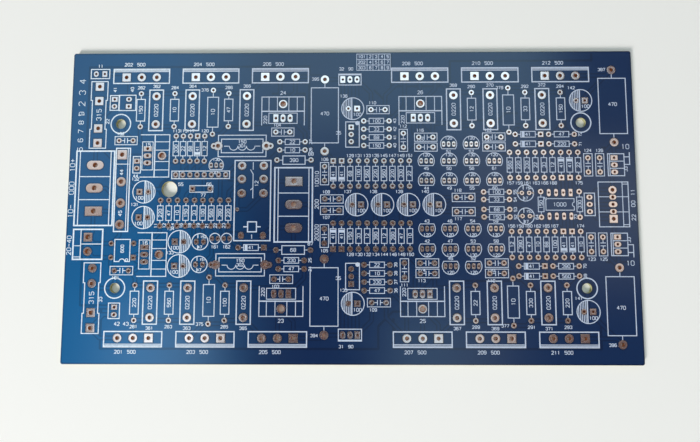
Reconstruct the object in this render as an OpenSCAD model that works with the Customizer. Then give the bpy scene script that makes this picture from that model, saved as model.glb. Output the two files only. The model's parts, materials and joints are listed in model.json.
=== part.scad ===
// Bare circuit board of a two-channel audio power amplifier, component side up.
// One drilled laminate, a coat of solder mask on each side, a plated land for
// every component lead, and the white print that shows where each component goes.
// The board lies flat. The origin is at the middle of its underside, +X runs along
// the long side and +Y towards the upper channel. The two channels mirror each
// other across the X axis; the supply and protection parts sit at the -X end.

/* [Board] */
// Length of the board along X
board_w = 200; // [199:0.5:206]
// Depth of the board along Y
board_d = 110; // [109.5:0.5:116]
// Thickness over the solder mask of both sides
board_t = 1.6; // [1:0.1:3.2]
// Radius of the four corners
board_corner_r = 0.8; // [0.2:0.1:1.5]
// Thickness of one coat of solder mask
mask_t = 0.05; // [0.03:0.01:0.08]

/* [Plain holes] */
// Diameter of the four mounting holes
mount_hole_d = 3.5; // [3.2:0.1:4.2]
// Distance between the mounting holes along X
mount_span_x = 163.5; // [163:0.1:164]
// Distance between the mounting holes along Y
mount_span_y = 58.1; // [57.7:0.1:58.5]
// Middle of the mounting holes, off the middle of the board along X
mount_shift_x = -0.35; // [-0.7:0.05:0]
// Radius of the printed ring around a mounting hole, for the screw's head
mount_ring_r = 3.7; // [3.4:0.1:3.7]
// Diameter of the large unplated hole near the supply parts
guide_hole_d = 5.6; // [4:0.1:5.8]
// Place of the large unplated hole
guide_hole_at = [-64, 5.55];

/* [Lands] */
// Thickness of the metal plated onto the wall of a hole
plating_t = 0.05; // [0.03:0.01:0.08]
// Height of a soldered land above the mask
land_rise = 0.05; // [0.02:0.01:0.1]
// Bare gap between a land and the mask around it
mask_gap = 0.08; // [0.05:0.01:0.1]
// Land diameter for a thin wire lead
wire_land_d = 1.9; // [1.6:0.1:2.1]
// Hole diameter for a thin wire lead
wire_hole_d = 0.9; // [0.7:0.1:1.1]
// Land diameter for a power lead
power_land_d = 3; // [2.6:0.1:3.1]
// Hole diameter for a power lead
power_hole_d = 1.4; // [1.2:0.1:1.6]

/* [Print] */
// Thickness of the ink
ink_t = 0.04; // [0.02:0.01:0.08]
// Width of a fine printed line
fine_line = 0.25; // [0.15:0.05:0.3]
// Width of the line round a larger component
body_line = 0.3; // [0.25:0.05:0.35]
// Width of a heavy printed line
heavy_line = 0.4; // [0.3:0.05:0.5]

/* [Transistors] */
// Lead pitch of an output transistor
output_pitch = 5.45; // [5.35:0.05:5.55]
// Distance from one output transistor to the next
output_spacing = 25; // [24.5:0.1:25.5]
// Distance of the output transistors' leads from the X axis
output_row_y = 46.1; // [45.8:0.1:46.4]
// Lead pitch of the drivers, regulators and other parts on the common grid
grid_pitch = 2.54; // [2.5:0.01:2.58]
// Lead pitch of a small transistor
small_transistor_pitch = 1.8; // [1.7:0.05:1.85]
// Radius of a small transistor's printed outline
small_transistor_r = 3; // [2.8:0.1:3.1]

/* [Resistors and capacitors] */
// Lead span of a quarter-watt resistor
small_resistor_span = 9; // [8.8:0.1:9.2]
// Lead span of a half-watt resistor
half_watt_span = 12.05; // [11.9:0.05:12.2]
// Lead span of a two-watt resistor
two_watt_span = 16; // [15.8:0.1:16.2]
// Lead span of an emitter resistor
emitter_span = 10.2; // [10:0.1:10.4]
// Lead span of a ceramic resistor
ceramic_span = 26.1; // [25.8:0.1:26.4]
// Lead span of a film capacitor
film_span = 5; // [4.8:0.1:5.2]
// Radius of a large electrolytic capacitor
large_can_r = 4.1; // [4:0.05:4.1]
// Radius of a medium electrolytic capacitor
medium_can_r = 3; // [2.9:0.05:3]
// Radius of a small electrolytic capacitor
small_can_r = 2; // [1.8:0.1:2]

/* [Terminals] */
// Pitch of the screw terminals' pins
terminal_pitch = 8.2; // [8.1:0.05:8.3]
// Length of a terminal's land
terminal_land_w = 6; // [5.6:0.1:6.2]
// Depth of a terminal's land
terminal_land_d = 3.2; // [3:0.1:3.4]
// Hole diameter for a terminal's pin
terminal_hole_d = 1.8; // [1.5:0.1:2]

/* [Hidden] */
$fn = 32;

mask_color = "#2a5488";
laminate_color = "#8f9a63";
land_color = "#dcd9d2";
ink_color = "#f2f4f7";
laminate_t = board_t - 2 * mask_t;
land_t = mask_t + land_rise;
terminal_line = 0.5;

// Places are [x, y, turn]. Those under both_channels() are of the upper channel.
output_x = [for (middle = [-50.2, 49.7], i = [-1 : 1]) middle + i * output_spacing];
driver_sites = [[-24.1, 36.1, 0], [24.8, 36.1, 0]];
regulator_sites = [[-67, 17.5, -90], [-67, -17.4, -90]];
bias_transistor_site = [-0.25, 45, 0];
small_transistor_x = [for (i = [0 : 3]) 26.65 + 7.98 * i];
small_transistor_sites = [
    for (x = small_transistor_x) [x, 8.45, 0],
    for (x = small_transistor_x) [x, 15.45, 0],
    for (i = [1, 2]) [small_transistor_x[i], 21.45, 0]
];
relay_transistor_site = [-47.6, 14.05, 0];

input_row_x = [for (i = [0 : 8]) 56 + 2.99 * i];
driver_row_x = [for (i = [0 : 9]) -6.15 + 2.98 * i];
channel_resistor_sites = [
    for (i = [0, 1, 2, 3, 4, 5, 8]) [input_row_x[i], 13.95, 90],
    for (i = [2 : 9]) [driver_row_x[i], 11, 90],
    for (i = [0 : 3]) [9.15, 21 + 2.95 * i, 0],
    for (y = [19.45, 22.4]) [-20.65, y, 0],
    for (y = [1.75, 4.4]) [51.05, y, 0],
    for (y = [21.45, 24.9]) [74.45, y, 0]
];
relay_row_x = [for (i = [0 : 4]) -62.1 + 2.55 * i];
protection_resistor_sites = [
    for (i = [0 : 8]) [-67 + 3 * i, -2.9, 90],
    for (i = [0, 1, 2, 4]) [relay_row_x[i], 20.05, 90],
    for (x = [66.5, 79.9]) [x, 0, 90]
];
channel_diode_sites = [
    for (i = [6, 7]) [input_row_x[i], 13.95, -90],
    for (i = [0, 1]) [driver_row_x[i], 11, 90],
    for (y = [21.45, 24.9]) [62.65, y, 0]
];
protection_diode_sites = [[relay_row_x[3], 20.05, 90], [-34.8, -15, 0]];
half_watt_sites = [
    for (x = [-75.1, -63, -43.6, 43, 62, 74.5]) [x, 34.05, 90],
    [-20.05, 15.85, 0]
];
two_watt_sites = [[-49.2, 33.25, 90], [56, 33.7, 90]];
emitter_sites = [for (x = [-69.6, -56.6, -37.1, 36.6, 49.6, 68]) [x, 34, 90]];
ceramic_sites = [[-9.2, 32, 90], [92.8, 35.05, 90]];
film_sites = [
    [-80, 23, 0], [-24.1, 25.95, 0], [9.75, 33.95, 0], [-6.6, 2, 0], [39.55, 2.5, 0],
    for (x = [26.6, 50.6], y = [20.4, 23.95]) [x, y, 0],
    [18.65, 22.85, 90], [-9.2, 11, 90], [83.4, 13.95, 90], [87.5, 13.95, 90]
];
channel_can_sites = [[0.75, 34.35, 0], [81.6, 37.05, 0]];
supply_can_sites = [
    for (i = [0 : 3]) [2.1 + 9.07 * i, 0, 0],
    [-73, 4.6, 180], [-73, -4.45, 180], [-60, -12.95, 180], [-60, -21.4, 180]
];
timing_can_sites = [[-52.75, -12.95, 0], [-52.85, -20.85, 0]];
input_can_sites = [[61.2, 4.05, 0], [61.2, -4.1, 0]];
small_can_sites = [[-47.5, -11.85, 0], [-43.4, -11.85, 0]];
inductor_sites = [[-38.5, 21, 0], [-38.5, -21, 0]];
op_amp_site = [73.1, 0, 0];
input_connector_site = [91.5, 0, 0];
gain_trimmer_sites = [[92.55, 13.95, 0], [92.55, -13.95, 0]];
bias_trimmer_sites = [[0.2, 25, 0], [0.2, -25, 0]];
driver_leads_y = -5.15;
relay_site = [-34.55, 0, 0];
speaker_terminal_site = [-20, 0.05, 0];
supply_terminal_site = [-90.7, 6, 0];
supply_strip_site = [-81.2, 5.65, 0];
ac_terminal_site = [-92.2, -13.85, 0];
rectifier_site = [-79.95, -16, 0];
fuse_clip_site = [-90.2, 32.45, 0];
via_site = [-39.9, -1.65, 0];
week_table_at = [8.2, 51.35];

// Pin headers: [x, y, turn, pins, pitch, box length, box width, box shift]
pin_headers = [
    [-53.05, 10.65, 0, 8, grid_pitch, 20.8, 3, 0],
    [-90.15, 47.4, 180, 2, 3.1, 7, 3.7, 0],
    [-52.7, 5.65, 0, 2, 6.2, 8.4, 2.6, 0],
    [-75.85, 14.3, -90, 2, 2.6, 6.2, 3, 0],
    [-82.1, -36.85, -90, 2, 2.6, 5.6, 4.2, 0],
    [-84.65, 36.75, -90, 2, 2.6, 5.7, 3.4, 0],
    [-79.5, 36.75, 90, 2, 2.6, 5.9, 6.2, 0.45],
    [83.4, 0, -90, 3, grid_pitch, 8.2, 3.9, 0]
];

// ---- Placing ----

module at(sites) {
    for (site = sites)
        translate([site[0], site[1]])
            rotate(site[2])
                children();
}

module both_channels() {
    children();
    mirror([0, 1, 0])
        children();
}

// The lower channel's parts are the upper ones turned by half a turn.
module turned_channels(sites) {
    at([for (site = sites) each [site, [site[0], -site[1], site[2] + 180]]])
        children();
}

// ---- Lands, drawn by $layer as a drilling, a mask opening or a plated land ----

module land_outline(shape, w, d) {
    if (shape == "round")
        circle(d = w);
    if (shape == "square")
        square([w, d], center = true);
    if (shape == "oval")
        rounded_bar(w, d);
}

// A bar with half-round ends, along its longer side.
module rounded_bar(w, d) {
    end_d = min(w, d);
    square([w > d ? w - d : w, w > d ? d : d - w], center = true);
    for (side = [-1, 1])
        translate([side * (w - end_d) / 2, side * (d - end_d) / 2])
            circle(d = end_d);
}

module plated_land(shape, w, d, hole_d) {
    difference() {
        union() {
            translate([0, 0, board_t - mask_t])
                linear_extrude(land_t)
                    land_outline(shape, w, d);
            cylinder(d = hole_d + 2 * plating_t, h = board_t);
            linear_extrude(mask_t)
                land_outline(shape, w, d);
        }
        translate([0, 0, -board_t])
            cylinder(d = hole_d, h = 3 * board_t);
    }
}

module pad(shape, w, d, hole_d) {
    if ($layer == "drilling")
        circle(d = hole_d + 2 * plating_t);
    if ($layer == "opening")
        land_outline(shape, w + 2 * mask_gap, d + 2 * mask_gap);
    if ($layer == "land")
        plated_land(shape, w, d, hole_d);
}

// A row of pads along X, the first of them a square that marks lead one.
module pad_row(count, pitch, w, d, hole_d, first = "square", rest = "oval") {
    for (i = [0 : count - 1])
        translate([(i - (count - 1) / 2) * pitch, 0])
            pad(i == 0 ? first : rest, w, d, hole_d);
}

module wire_pads(span) {
    for (side = [-1, 1])
        translate([side * span / 2, 0])
            pad("round", wire_land_d, wire_land_d, wire_hole_d);
}

module power_pads(span) {
    for (side = [-1, 1])
        translate([side * span / 2, 0])
            pad("round", power_land_d, power_land_d, power_hole_d);
}

// ---- Print ----

module frame(w, d, line = fine_line) {
    difference() {
        square([w, d], center = true);
        square([w - 2 * line, d - 2 * line], center = true);
    }
}

module ring(r, line = fine_line) {
    difference() {
        circle(r = r);
        circle(r = r - line);
    }
}

// A straight line between two points, with square ends.
module stroke(from, to, line = fine_line) {
    run = to - from;
    translate(from)
        rotate(atan2(run[1], run[0]))
            translate([-line / 2, -line / 2])
                square([norm(run) + line, line]);
}

// A body between two leads: its outline and a stub of line towards each land.
module leaded_body(span, body_l, body_w, land_d, line = fine_line) {
    frame(body_l, body_w, line);
    stub = (span - body_l - land_d) / 2 - mask_gap;
    for (side = [-1, 1])
        translate([side * (body_l + stub - line) / 2, 0])
            square([stub + line, fine_line], center = true);
}

// Ink on the mask, kept off the openings of the pads that come second.
module printed() {
    $layer = "opening";
    color(ink_color)
        translate([0, 0, board_t])
            linear_extrude(ink_t)
                difference() {
                    children(0);
                    if ($children > 1)
                        children(1);
                }
}

module plated() {
    $layer = "land";
    color(land_color)
        children();
}

// ---- Output transistors ----

module output_transistor_places() {
    turned_channels([for (x = output_x) [x, output_row_y, 0]])
        children();
}

module output_transistor_pads() {
    output_transistor_places()
        pad_row(3, output_pitch, power_land_d, power_land_d, power_hole_d, rest = "round");
}

module output_transistor_outline() {
    half_w = 10.25;
    outer_y = 3.2;
    inner_y = -2.4;
    translate([0, (outer_y + inner_y) / 2])
        frame(2 * half_w, outer_y - inner_y, heavy_line);
    for (y = [2.1, 2.55])
        stroke([-half_w + fine_line, y], [half_w - fine_line, y]);
}

// ---- Drivers and regulators, each on its own small heat sink ----

module driver_places() {
    turned_channels(driver_sites)
        children();
    at(regulator_sites)
        children();
}

module driver_pads() {
    driver_places() {
        pad("round", power_land_d, power_land_d, hole_d = 2.1);
        translate([0, driver_leads_y])
            pad_row(3, grid_pitch, w = 1.75, d = 2.9, hole_d = 1);
    }
}

module driver_outline() {
    sink_w = 15.2;
    sink_top_y = 2.6;
    sink_foot_y = -7.6;
    case_w = 10.1;
    case_d = 4;
    tab_half_w = 2.05;
    web_y = -2.6;
    for (side = [-1, 1])
        stroke([side * sink_w / 2, sink_top_y], [side * sink_w / 2, sink_foot_y], body_line);
    stroke([-sink_w / 2, sink_top_y], [sink_w / 2, sink_top_y], body_line);
    stroke([-sink_w / 2, web_y], [sink_w / 2, web_y], heavy_line);
    for (x = [-case_w / 2, -tab_half_w, tab_half_w, case_w / 2])
        stroke([x, sink_top_y], [x, web_y]);
    translate([0, driver_leads_y])
        frame(case_w + fine_line, case_d);
}

// ---- Transistor that senses the heat sink's temperature ----

module bias_transistor_pads() {
    turned_channels([bias_transistor_site])
        pad_row(3, grid_pitch, w = 1.75, d = 2.5, hole_d = wire_hole_d);
}

module bias_transistor_outline() {
    body_w = 8.3;
    body_d = 4.3;
    back_d = 0.6;
    frame(body_w, body_d, body_line);
    translate([0, (body_d - back_d) / 2])
        square([body_w, back_d], center = true);
}

// ---- Small transistors ----

module small_transistor_places() {
    turned_channels(small_transistor_sites)
        children();
    at([relay_transistor_site])
        children();
}

module small_transistor_pads() {
    small_transistor_places()
        pad_row(3, small_transistor_pitch, w = 1.2, d = 2, hole_d = 0.7, first = "oval");
}

// A circle cut by a flat side, shown by its line.
module small_transistor_outline(r) {
    flat_y = -0.6 * r;
    flat_half_l = 0.78 * r;
    intersection() {
        ring(r);
        translate([-r, flat_y])
            square([2 * r, 2 * r]);
    }
    translate([-flat_half_l, flat_y])
        square([2 * flat_half_l, fine_line]);
}

module small_transistor_outlines() {
    relay_transistor_r = 2.7;
    turned_channels(small_transistor_sites)
        small_transistor_outline(small_transistor_r);
    at([relay_transistor_site])
        small_transistor_outline(relay_transistor_r);
}

// ---- Resistors ----

module small_resistor_places() {
    both_channels()
        at(channel_resistor_sites)
            children();
    at(protection_resistor_sites)
        children();
}

module small_resistor_pads() {
    small_resistor_places()
        wire_pads(small_resistor_span);
}

module small_resistor_outline() {
    leaded_body(small_resistor_span, body_l = 5.4, body_w = 2.2, land_d = wire_land_d);
}

module half_watt_resistor_pads() {
    both_channels()
        at(half_watt_sites)
            wire_pads(half_watt_span);
}

module half_watt_resistor_outline() {
    leaded_body(half_watt_span, body_l = 8.2, body_w = 3.3, land_d = wire_land_d, line = body_line);
}

module two_watt_resistor_pads() {
    both_channels()
        at(two_watt_sites)
            wire_pads(two_watt_span);
}

module two_watt_resistor_outline() {
    leaded_body(two_watt_span, body_l = 11.2, body_w = 4.2, land_d = wire_land_d, line = body_line);
}

module emitter_resistor_pads() {
    both_channels()
        at(emitter_sites)
            power_pads(emitter_span);
}

module emitter_resistor_outline() {
    frame(w = 15.2, d = 5.3, line = heavy_line);
}

module ceramic_resistor_pads() {
    both_channels()
        at(ceramic_sites)
            power_pads(ceramic_span);
}

module ceramic_resistor_outline() {
    leaded_body(ceramic_span, body_l = 20.3, body_w = 10, land_d = power_land_d, line = body_line);
}

// ---- Diodes, with a square land and a band at the other end ----

module diode_places() {
    both_channels()
        at(channel_diode_sites)
            children();
    at(protection_diode_sites)
        children();
}

module diode_pads() {
    hole_d = 1;
    diode_places() {
        translate([small_resistor_span / 2, 0])
            pad("square", wire_land_d, wire_land_d, hole_d);
        translate([-small_resistor_span / 2, 0])
            pad("round", wire_land_d, wire_land_d, hole_d);
    }
}

module diode_outline() {
    body_l = 5.4;
    body_w = 2.3;
    band_l = 1;
    leaded_body(small_resistor_span, body_l, body_w, wire_land_d);
    translate([-body_l / 2 + band_l, 0])
        square([band_l, body_w - fine_line / 2], center = true);
}

// ---- Film capacitors, marked with two plates ----

module film_capacitor_pads() {
    both_channels()
        at(film_sites)
            wire_pads(film_span);
}

module film_capacitor_outline() {
    plate_x = 0.5;
    plate_half_l = 0.8;
    wire_end_x = 1.4;
    frame(w = 8.2, d = 3.2);
    for (side = [-1, 1]) {
        stroke([side * plate_x, -plate_half_l], [side * plate_x, plate_half_l]);
        stroke([side * plate_x, 0], [side * wire_end_x, 0]);
    }
}

// ---- Electrolytic capacitors: a circle with the negative side hatched ----

module large_can_places() {
    both_channels()
        at(channel_can_sites)
            children();
    at(supply_can_sites)
        children();
}

module large_can_pads() {
    lead_x = 1.55;
    positive_land_w = 2.1;
    large_can_places() {
        translate([lead_x, 0])
            pad("square", positive_land_w, positive_land_w, wire_hole_d);
        translate([-lead_x, 0])
            pad("round", wire_land_d, wire_land_d, wire_hole_d);
    }
}

module large_can_outline() {
    first_hatch_x = -0.35;
    hatch_pitch = 0.6;
    hatch_lines = 6;
    ring(large_can_r, body_line);
    intersection() {
        circle(r = large_can_r - body_line / 2);
        for (i = [0 : hatch_lines - 1])
            translate([first_hatch_x - i * hatch_pitch, 0])
                square([i == 0 ? heavy_line : fine_line, 2 * large_can_r], center = true);
    }
}

module timing_can_pads() {
    at(timing_can_sites)
        pad_row(2, grid_pitch, w = 1.7, d = 2, hole_d = wire_hole_d, first = "oval");
}

// The input capacitors take a narrow or a wide pair of leads.
module input_can_pads() {
    narrow_land_d = 1.55;
    wide_land_d = 0.7;
    at(input_can_sites)
        for (side = [-1, 1]) {
            translate([side * grid_pitch / 2, 0])
                pad("round", narrow_land_d, narrow_land_d, hole_d = 0.7);
            translate([side * grid_pitch, 0])
                pad("round", wide_land_d, wide_land_d, hole_d = 0.4);
        }
}

module medium_can_pads() {
    timing_can_pads();
    input_can_pads();
}

module medium_can_outline() {
    tick_x = -0.75;
    tick_inner_y = 1.35;
    tick_outer_y = 2.75;
    ring(medium_can_r, body_line);
    for (side = [-1, 1])
        stroke([tick_x, side * tick_inner_y], [tick_x, side * tick_outer_y], body_line);
}

module small_can_pads() {
    at(small_can_sites)
        pad_row(2, pitch = 2.1, w = 1.4, d = 1.8, hole_d = 0.7, first = "oval");
}

// ---- Output inductors: a thick and a thin lead at each end ----

// The leads of one end: [distance from the middle, land diameter, hole diameter]
inductor_leads = [[8.6, 3.1, 1.5], [10.1, 2.1, 0.9]];

module inductor_lead_outline(gap, side) {
    for (lead = inductor_leads)
        translate([side * lead[0], 0])
            circle(d = lead[1] + 2 * gap);
}

module inductor_lead_holes(extra, side) {
    for (lead = inductor_leads)
        translate([side * lead[0], 0])
            circle(d = lead[2] + extra);
}

module inductor_end_pad(side) {
    if ($layer == "drilling")
        inductor_lead_holes(2 * plating_t, side);
    if ($layer == "opening")
        inductor_lead_outline(mask_gap, side);
    if ($layer == "land")
        difference() {
            union() {
                translate([0, 0, board_t - mask_t])
                    linear_extrude(land_t)
                        inductor_lead_outline(0, side);
                linear_extrude(board_t)
                    inductor_lead_holes(2 * plating_t, side);
                linear_extrude(mask_t)
                    inductor_lead_outline(0, side);
            }
            translate([0, 0, -board_t])
                linear_extrude(3 * board_t)
                    inductor_lead_holes(0, side);
        }
}

module inductor_pads() {
    at(inductor_sites)
        for (side = [-1, 1])
            inductor_end_pad(side);
}

// The outline has a winding of three half rings.
module inductor_outline() {
    turn_r = 1.65;
    wire_y = -0.1;
    wire_x = [4.9, 6.3];
    frame(w = 17.3, d = 8, line = body_line);
    frame(w = 15.1, d = 5.2, line = body_line);
    intersection() {
        for (i = [-1 : 1])
            translate([i * (2 * turn_r - fine_line), 0])
                ring(turn_r);
        translate([-4 * turn_r, -2 * turn_r])
            square([8 * turn_r, 2 * turn_r]);
    }
    for (side = [-1, 1])
        stroke([side * wire_x[0], wire_y], [side * wire_x[1], wire_y]);
}

// ---- Operational amplifier ----

module op_amp_pads() {
    row_y = 4.15;
    at([op_amp_site]) {
        translate([0, -row_y])
            pad_row(4, grid_pitch, w = 1.3, d = 2.6, hole_d = 0.8, first = "oval");
        translate([0, row_y])
            rotate(180)
                pad_row(4, grid_pitch, w = 1.3, d = 2.6, hole_d = 0.8);
    }
}

module op_amp_outline() {
    body_l = 10.1;
    body_w = 4.3;
    notch_r = 0.9;
    difference() {
        frame(body_l, body_w);
        translate([body_l / 2, 0])
            circle(r = notch_r);
    }
    intersection() {
        translate([body_l / 2, 0])
            ring(notch_r);
        square([body_l, body_w], center = true);
    }
}

// ---- Input connector ----

module input_connector_pads() {
    end_land_w = 2.8;
    inner_hole_d = 1.1;
    at([input_connector_site]) {
        translate([0, 2 * grid_pitch])
            pad("round", end_land_w, end_land_w, power_hole_d);
        for (side = [-1, 1])
            translate([0, side * grid_pitch])
                pad("oval", w = 2.4, d = 1.8, hole_d = inner_hole_d);
        pad("oval", w = 3, d = 2, hole_d = inner_hole_d);
        translate([0, -2 * grid_pitch])
            pad("square", end_land_w, end_land_w, power_hole_d);
    }
}

module input_connector_outline() {
    left_x = -5.1;
    right_x = 5.6;
    half_d = 8;
    key_x = 3.4;
    slot_y = 2.65;
    latch_y = 7.1;
    translate([(left_x + right_x) / 2, 0])
        frame(right_x - left_x, 2 * half_d, body_line);
    stroke([key_x, -half_d + fine_line], [key_x, half_d - fine_line]);
    for (side = [-1, 1]) {
        stroke([left_x + fine_line, side * slot_y], [right_x - fine_line, side * slot_y]);
        stroke([key_x, side * latch_y], [right_x - fine_line, side * latch_y]);
    }
}

// ---- Trimmers ----

module gain_trimmer_pads() {
    at(gain_trimmer_sites)
        rotate(-90)
            pad_row(3, grid_pitch, w = 1.8, d = 2.4, hole_d = wire_hole_d);
}

module gain_trimmer_outline() {
    left_x = -2.4;
    right_x = 3.6;
    half_d = 4.05;
    inner_x = -1.6;
    translate([(left_x + right_x) / 2, 0])
        frame(right_x - left_x, 2 * half_d, body_line);
    stroke([inner_x, -half_d + fine_line], [inner_x, half_d - fine_line]);
    for (side = [-1, 1])
        stroke([inner_x, side * grid_pitch / 2], [right_x - fine_line, side * grid_pitch / 2]);
}

// A hook beside the trimmer joins it to the label at the board's edge.
module gain_trimmer_hook() {
    frame_x = 3.55;
    hook_x = 5.35;
    low_y = 0.1;
    middle_y = 2.8;
    high_y = 4.3;
    for (y = [low_y, middle_y])
        stroke([frame_x, y], [hook_x, y], body_line);
    stroke([hook_x, low_y], [hook_x, high_y], body_line);
}

module bias_trimmer_pads() {
    lead_pitch = 2.6;
    both_channels()
        at([bias_trimmer_sites[0]])
            rotate(-90)
                pad_row(3, lead_pitch, wire_land_d, wire_land_d, wire_hole_d, rest = "round");
}

module bias_trimmer_outline() {
    body_x = 0.45;
    screw_at = [2.2, 4.1];
    screw_r = 0.75;
    translate([body_x, 0])
        frame(w = 5.1, d = 9.4, line = body_line);
    translate(screw_at)
        circle(r = screw_r);
}

// ---- Pin headers ----

module pin_header_pads() {
    for (header = pin_headers)
        at([header])
            pad_row(header[3], header[4], w = 1.75, d = 2.1, hole_d = wire_hole_d,
                    first = header[3] == 2 ? "square" : "oval");
}

// The outline of the long header has a bar beside lead one.
module pin_header_outlines() {
    for (header = pin_headers)
        at([header])
            translate([0, header[7]]) {
                frame(header[5], header[6], body_line);
                if (header[3] > 3)
                    translate([(2 - header[3]) * header[4] / 2, 0])
                        square([fine_line, header[6] - fine_line], center = true);
            }
}

// ---- Speaker relay ----

module relay_pads() {
    lead_x = 3.85;
    contact_rows_y = [13.85, 9.1, 4.05];
    coil_row_y = -10.8;
    at([relay_site])
        for (side = [-1, 1]) {
            for (y = contact_rows_y)
                translate([side * lead_x, y])
                    pad("round", power_land_d, power_land_d, power_hole_d);
            translate([side * lead_x, coil_row_y])
                pad("oval", w = 2, d = 2.5, hole_d = 1.2);
        }
}

// The print shows the case, the coil and the changeover contact.
module relay_outline() {
    case_half_w = 6.55;
    case_low_y = -12.8;
    case_high_y = 15.95;
    coil_w = 3.5;
    coil_y = -7.75;
    coil_wire_l = 1.1;
    contact_lines = [
        [[0.1, 15], [0.1, 12.6]],
        [[-0.8, 12.4], [0.1, 10.9]],
        [[0.1, 10.9], [0.1, 2.4]],
        [[-0.7, 5.3], [0.1, 6]]
    ];
    translate([0, (case_low_y + case_high_y) / 2])
        frame(2 * case_half_w, case_high_y - case_low_y, heavy_line);
    translate([0, coil_y])
        frame(w = coil_w, d = 3.9, line = heavy_line);
    for (side = [-1, 1])
        stroke([side * coil_w / 2, coil_y], [side * (coil_w / 2 + coil_wire_l), coil_y], heavy_line);
    for (line = contact_lines)
        stroke(line[0], line[1]);
}

// ---- Screw terminals and the four-way strip ----

module terminal_pads() {
    for (i = [-1 : 1])
        translate([0, i * terminal_pitch])
            pad(i == $square_row ? "square" : "oval", terminal_land_w, terminal_land_d, terminal_hole_d);
}

module speaker_terminal_pads() {
    $square_row = 1;
    at([speaker_terminal_site])
        terminal_pads();
}

module supply_terminal_pads() {
    $square_row = -1;
    at([supply_terminal_site])
        terminal_pads();
}

module screw_terminal_outline(w, d, shift_x) {
    inner_w = w - 3;
    translate([shift_x, 0]) {
        frame(w, d, terminal_line);
        for (side = [-1, 1])
            translate([side * inner_w / 2, 0])
                square([body_line, d - terminal_line], center = true);
        for (side = [-1, 1])
            translate([0, side * terminal_pitch / 2])
                square([inner_w, body_line], center = true);
    }
}

module supply_strip_pads() {
    first_y = 12.3;
    land_w = 3.4;
    round_land_d = 3.3;
    hole_d = 1.6;
    at([supply_strip_site]) {
        translate([0, first_y])
            pad("square", land_w, land_w, hole_d);
        for (y = [2.6, -5, -12.6])
            translate([0, y])
                pad("round", round_land_d, round_land_d, hole_d);
    }
}

module supply_strip_outline() {
    half_w = 2.7;
    half_d = 15;
    off_pads = [0.4, -0.2];
    key_x = 1.7;
    divider_y = 9.1;
    translate(off_pads) {
        frame(2 * half_w, 2 * half_d, heavy_line);
        stroke([key_x, -half_d + fine_line], [key_x, half_d - fine_line]);
        stroke([-half_w + fine_line, divider_y], [half_w - fine_line, divider_y]);
    }
}

module ac_terminal_pads() {
    lead_y = 2.5;
    at([ac_terminal_site]) {
        translate([0, lead_y])
            pad("square", power_land_d, power_land_d, terminal_hole_d);
        translate([0, -lead_y])
            pad("round", power_land_d, power_land_d, terminal_hole_d);
    }
}

module ac_terminal_outline() {
    half_w = 5.4;
    half_d = 5.5;
    mouth_x = -2.5;
    divider_y = 0.1;
    frame(2 * half_w, 2 * half_d, terminal_line);
    stroke([mouth_x, -half_d + fine_line], [mouth_x, half_d - fine_line], body_line);
    stroke([mouth_x, divider_y], [half_w - fine_line, divider_y], body_line);
    for (y = [-4.4, -0.5])
        stroke([-half_w + fine_line, y], [mouth_x, y]);
}

module all_terminal_pads() {
    speaker_terminal_pads();
    supply_terminal_pads();
    supply_strip_pads();
    ac_terminal_pads();
}

module all_terminal_outlines() {
    at([speaker_terminal_site])
        screw_terminal_outline(13.8, 26.7, -0.1);
    at([supply_terminal_site])
        screw_terminal_outline(14, 27, 0.05);
    at([supply_strip_site])
        supply_strip_outline();
    at([ac_terminal_site])
        ac_terminal_outline();
}

// ---- Bridge rectifier ----

module rectifier_pads() {
    lead_x = 3.95;
    lead_y = 2.45;
    land_w = 1.8;
    at([rectifier_site])
        for (x = [-lead_x, lead_x], y = [-lead_y, lead_y])
            translate([x, y])
                pad(x > 0 && y < 0 ? "square" : "round", land_w, land_w, wire_hole_d);
}

module rectifier_outline() {
    body_w = 5.7;
    body_d = 8;
    notch_r = 1.2;
    dot_at = [1.65, -3.3];
    dot_r = 0.55;
    difference() {
        frame(body_w, body_d, body_line);
        translate([0, -body_d / 2])
            circle(r = notch_r);
    }
    intersection() {
        translate([0, -body_d / 2])
            ring(notch_r, body_line);
        square([body_w, body_d], center = true);
    }
    translate(dot_at)
        ring(dot_r);
}

// ---- Fuse clips ----

// The upper fuse has four square lands; the lower one has round lands inside.
module fuse_clip_pads() {
    rows_y = [-10.3, -5, 5, 10.3];
    for (channel = [1, -1], y = rows_y)
        translate([fuse_clip_site[0], channel * (fuse_clip_site[1] + y)])
            pad(channel < 0 && y < 0 ? "round" : "square", power_land_d, power_land_d, power_hole_d);
}

module fuse_clip_shape(inset) {
    end_w = 6.2;
    end_l = 7.2;
    neck_w = 5.2;
    length = 24.6;
    square([neck_w - 2 * inset, length - 2 * inset], center = true);
    for (side = [-1, 1])
        translate([0, side * (length - end_l) / 2])
            square([end_w - 2 * inset, end_l - 2 * inset], center = true);
}

module fuse_clip_outline() {
    difference() {
        fuse_clip_shape(0);
        fuse_clip_shape(body_line);
    }
}

// ---- Small plated via ----

module via_pad() {
    land_d = 1.3;
    at([via_site])
        pad("round", land_d, land_d, hole_d = 0.6);
}

// ---- Plain holes ----

module mounting_places() {
    for (x = [-1, 1], y = [-1, 1])
        translate([mount_shift_x + x * mount_span_x / 2, y * mount_span_y / 2])
            children();
}

module plain_holes() {
    mounting_places()
        circle(d = mount_hole_d);
    translate(guide_hole_at)
        circle(d = guide_hole_d);
}

// ---- Table for the week of making, on the upper edge ----

module week_table_outline() {
    table_w = 12.2;
    table_d = 6.2;
    table_line = 0.2;
    rows = 3;
    columns = [3.8, 5.9, 8, 10.1];
    frame(table_w, table_d, table_line);
    for (row = [1 : rows - 1])
        translate([0, (row / rows - 0.5) * table_d])
            square([table_w - table_line, table_line], center = true);
    for (x = columns)
        translate([x - table_w / 2, 0])
            square([table_line, table_d - table_line], center = true);
}

// ---- Board ----

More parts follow.
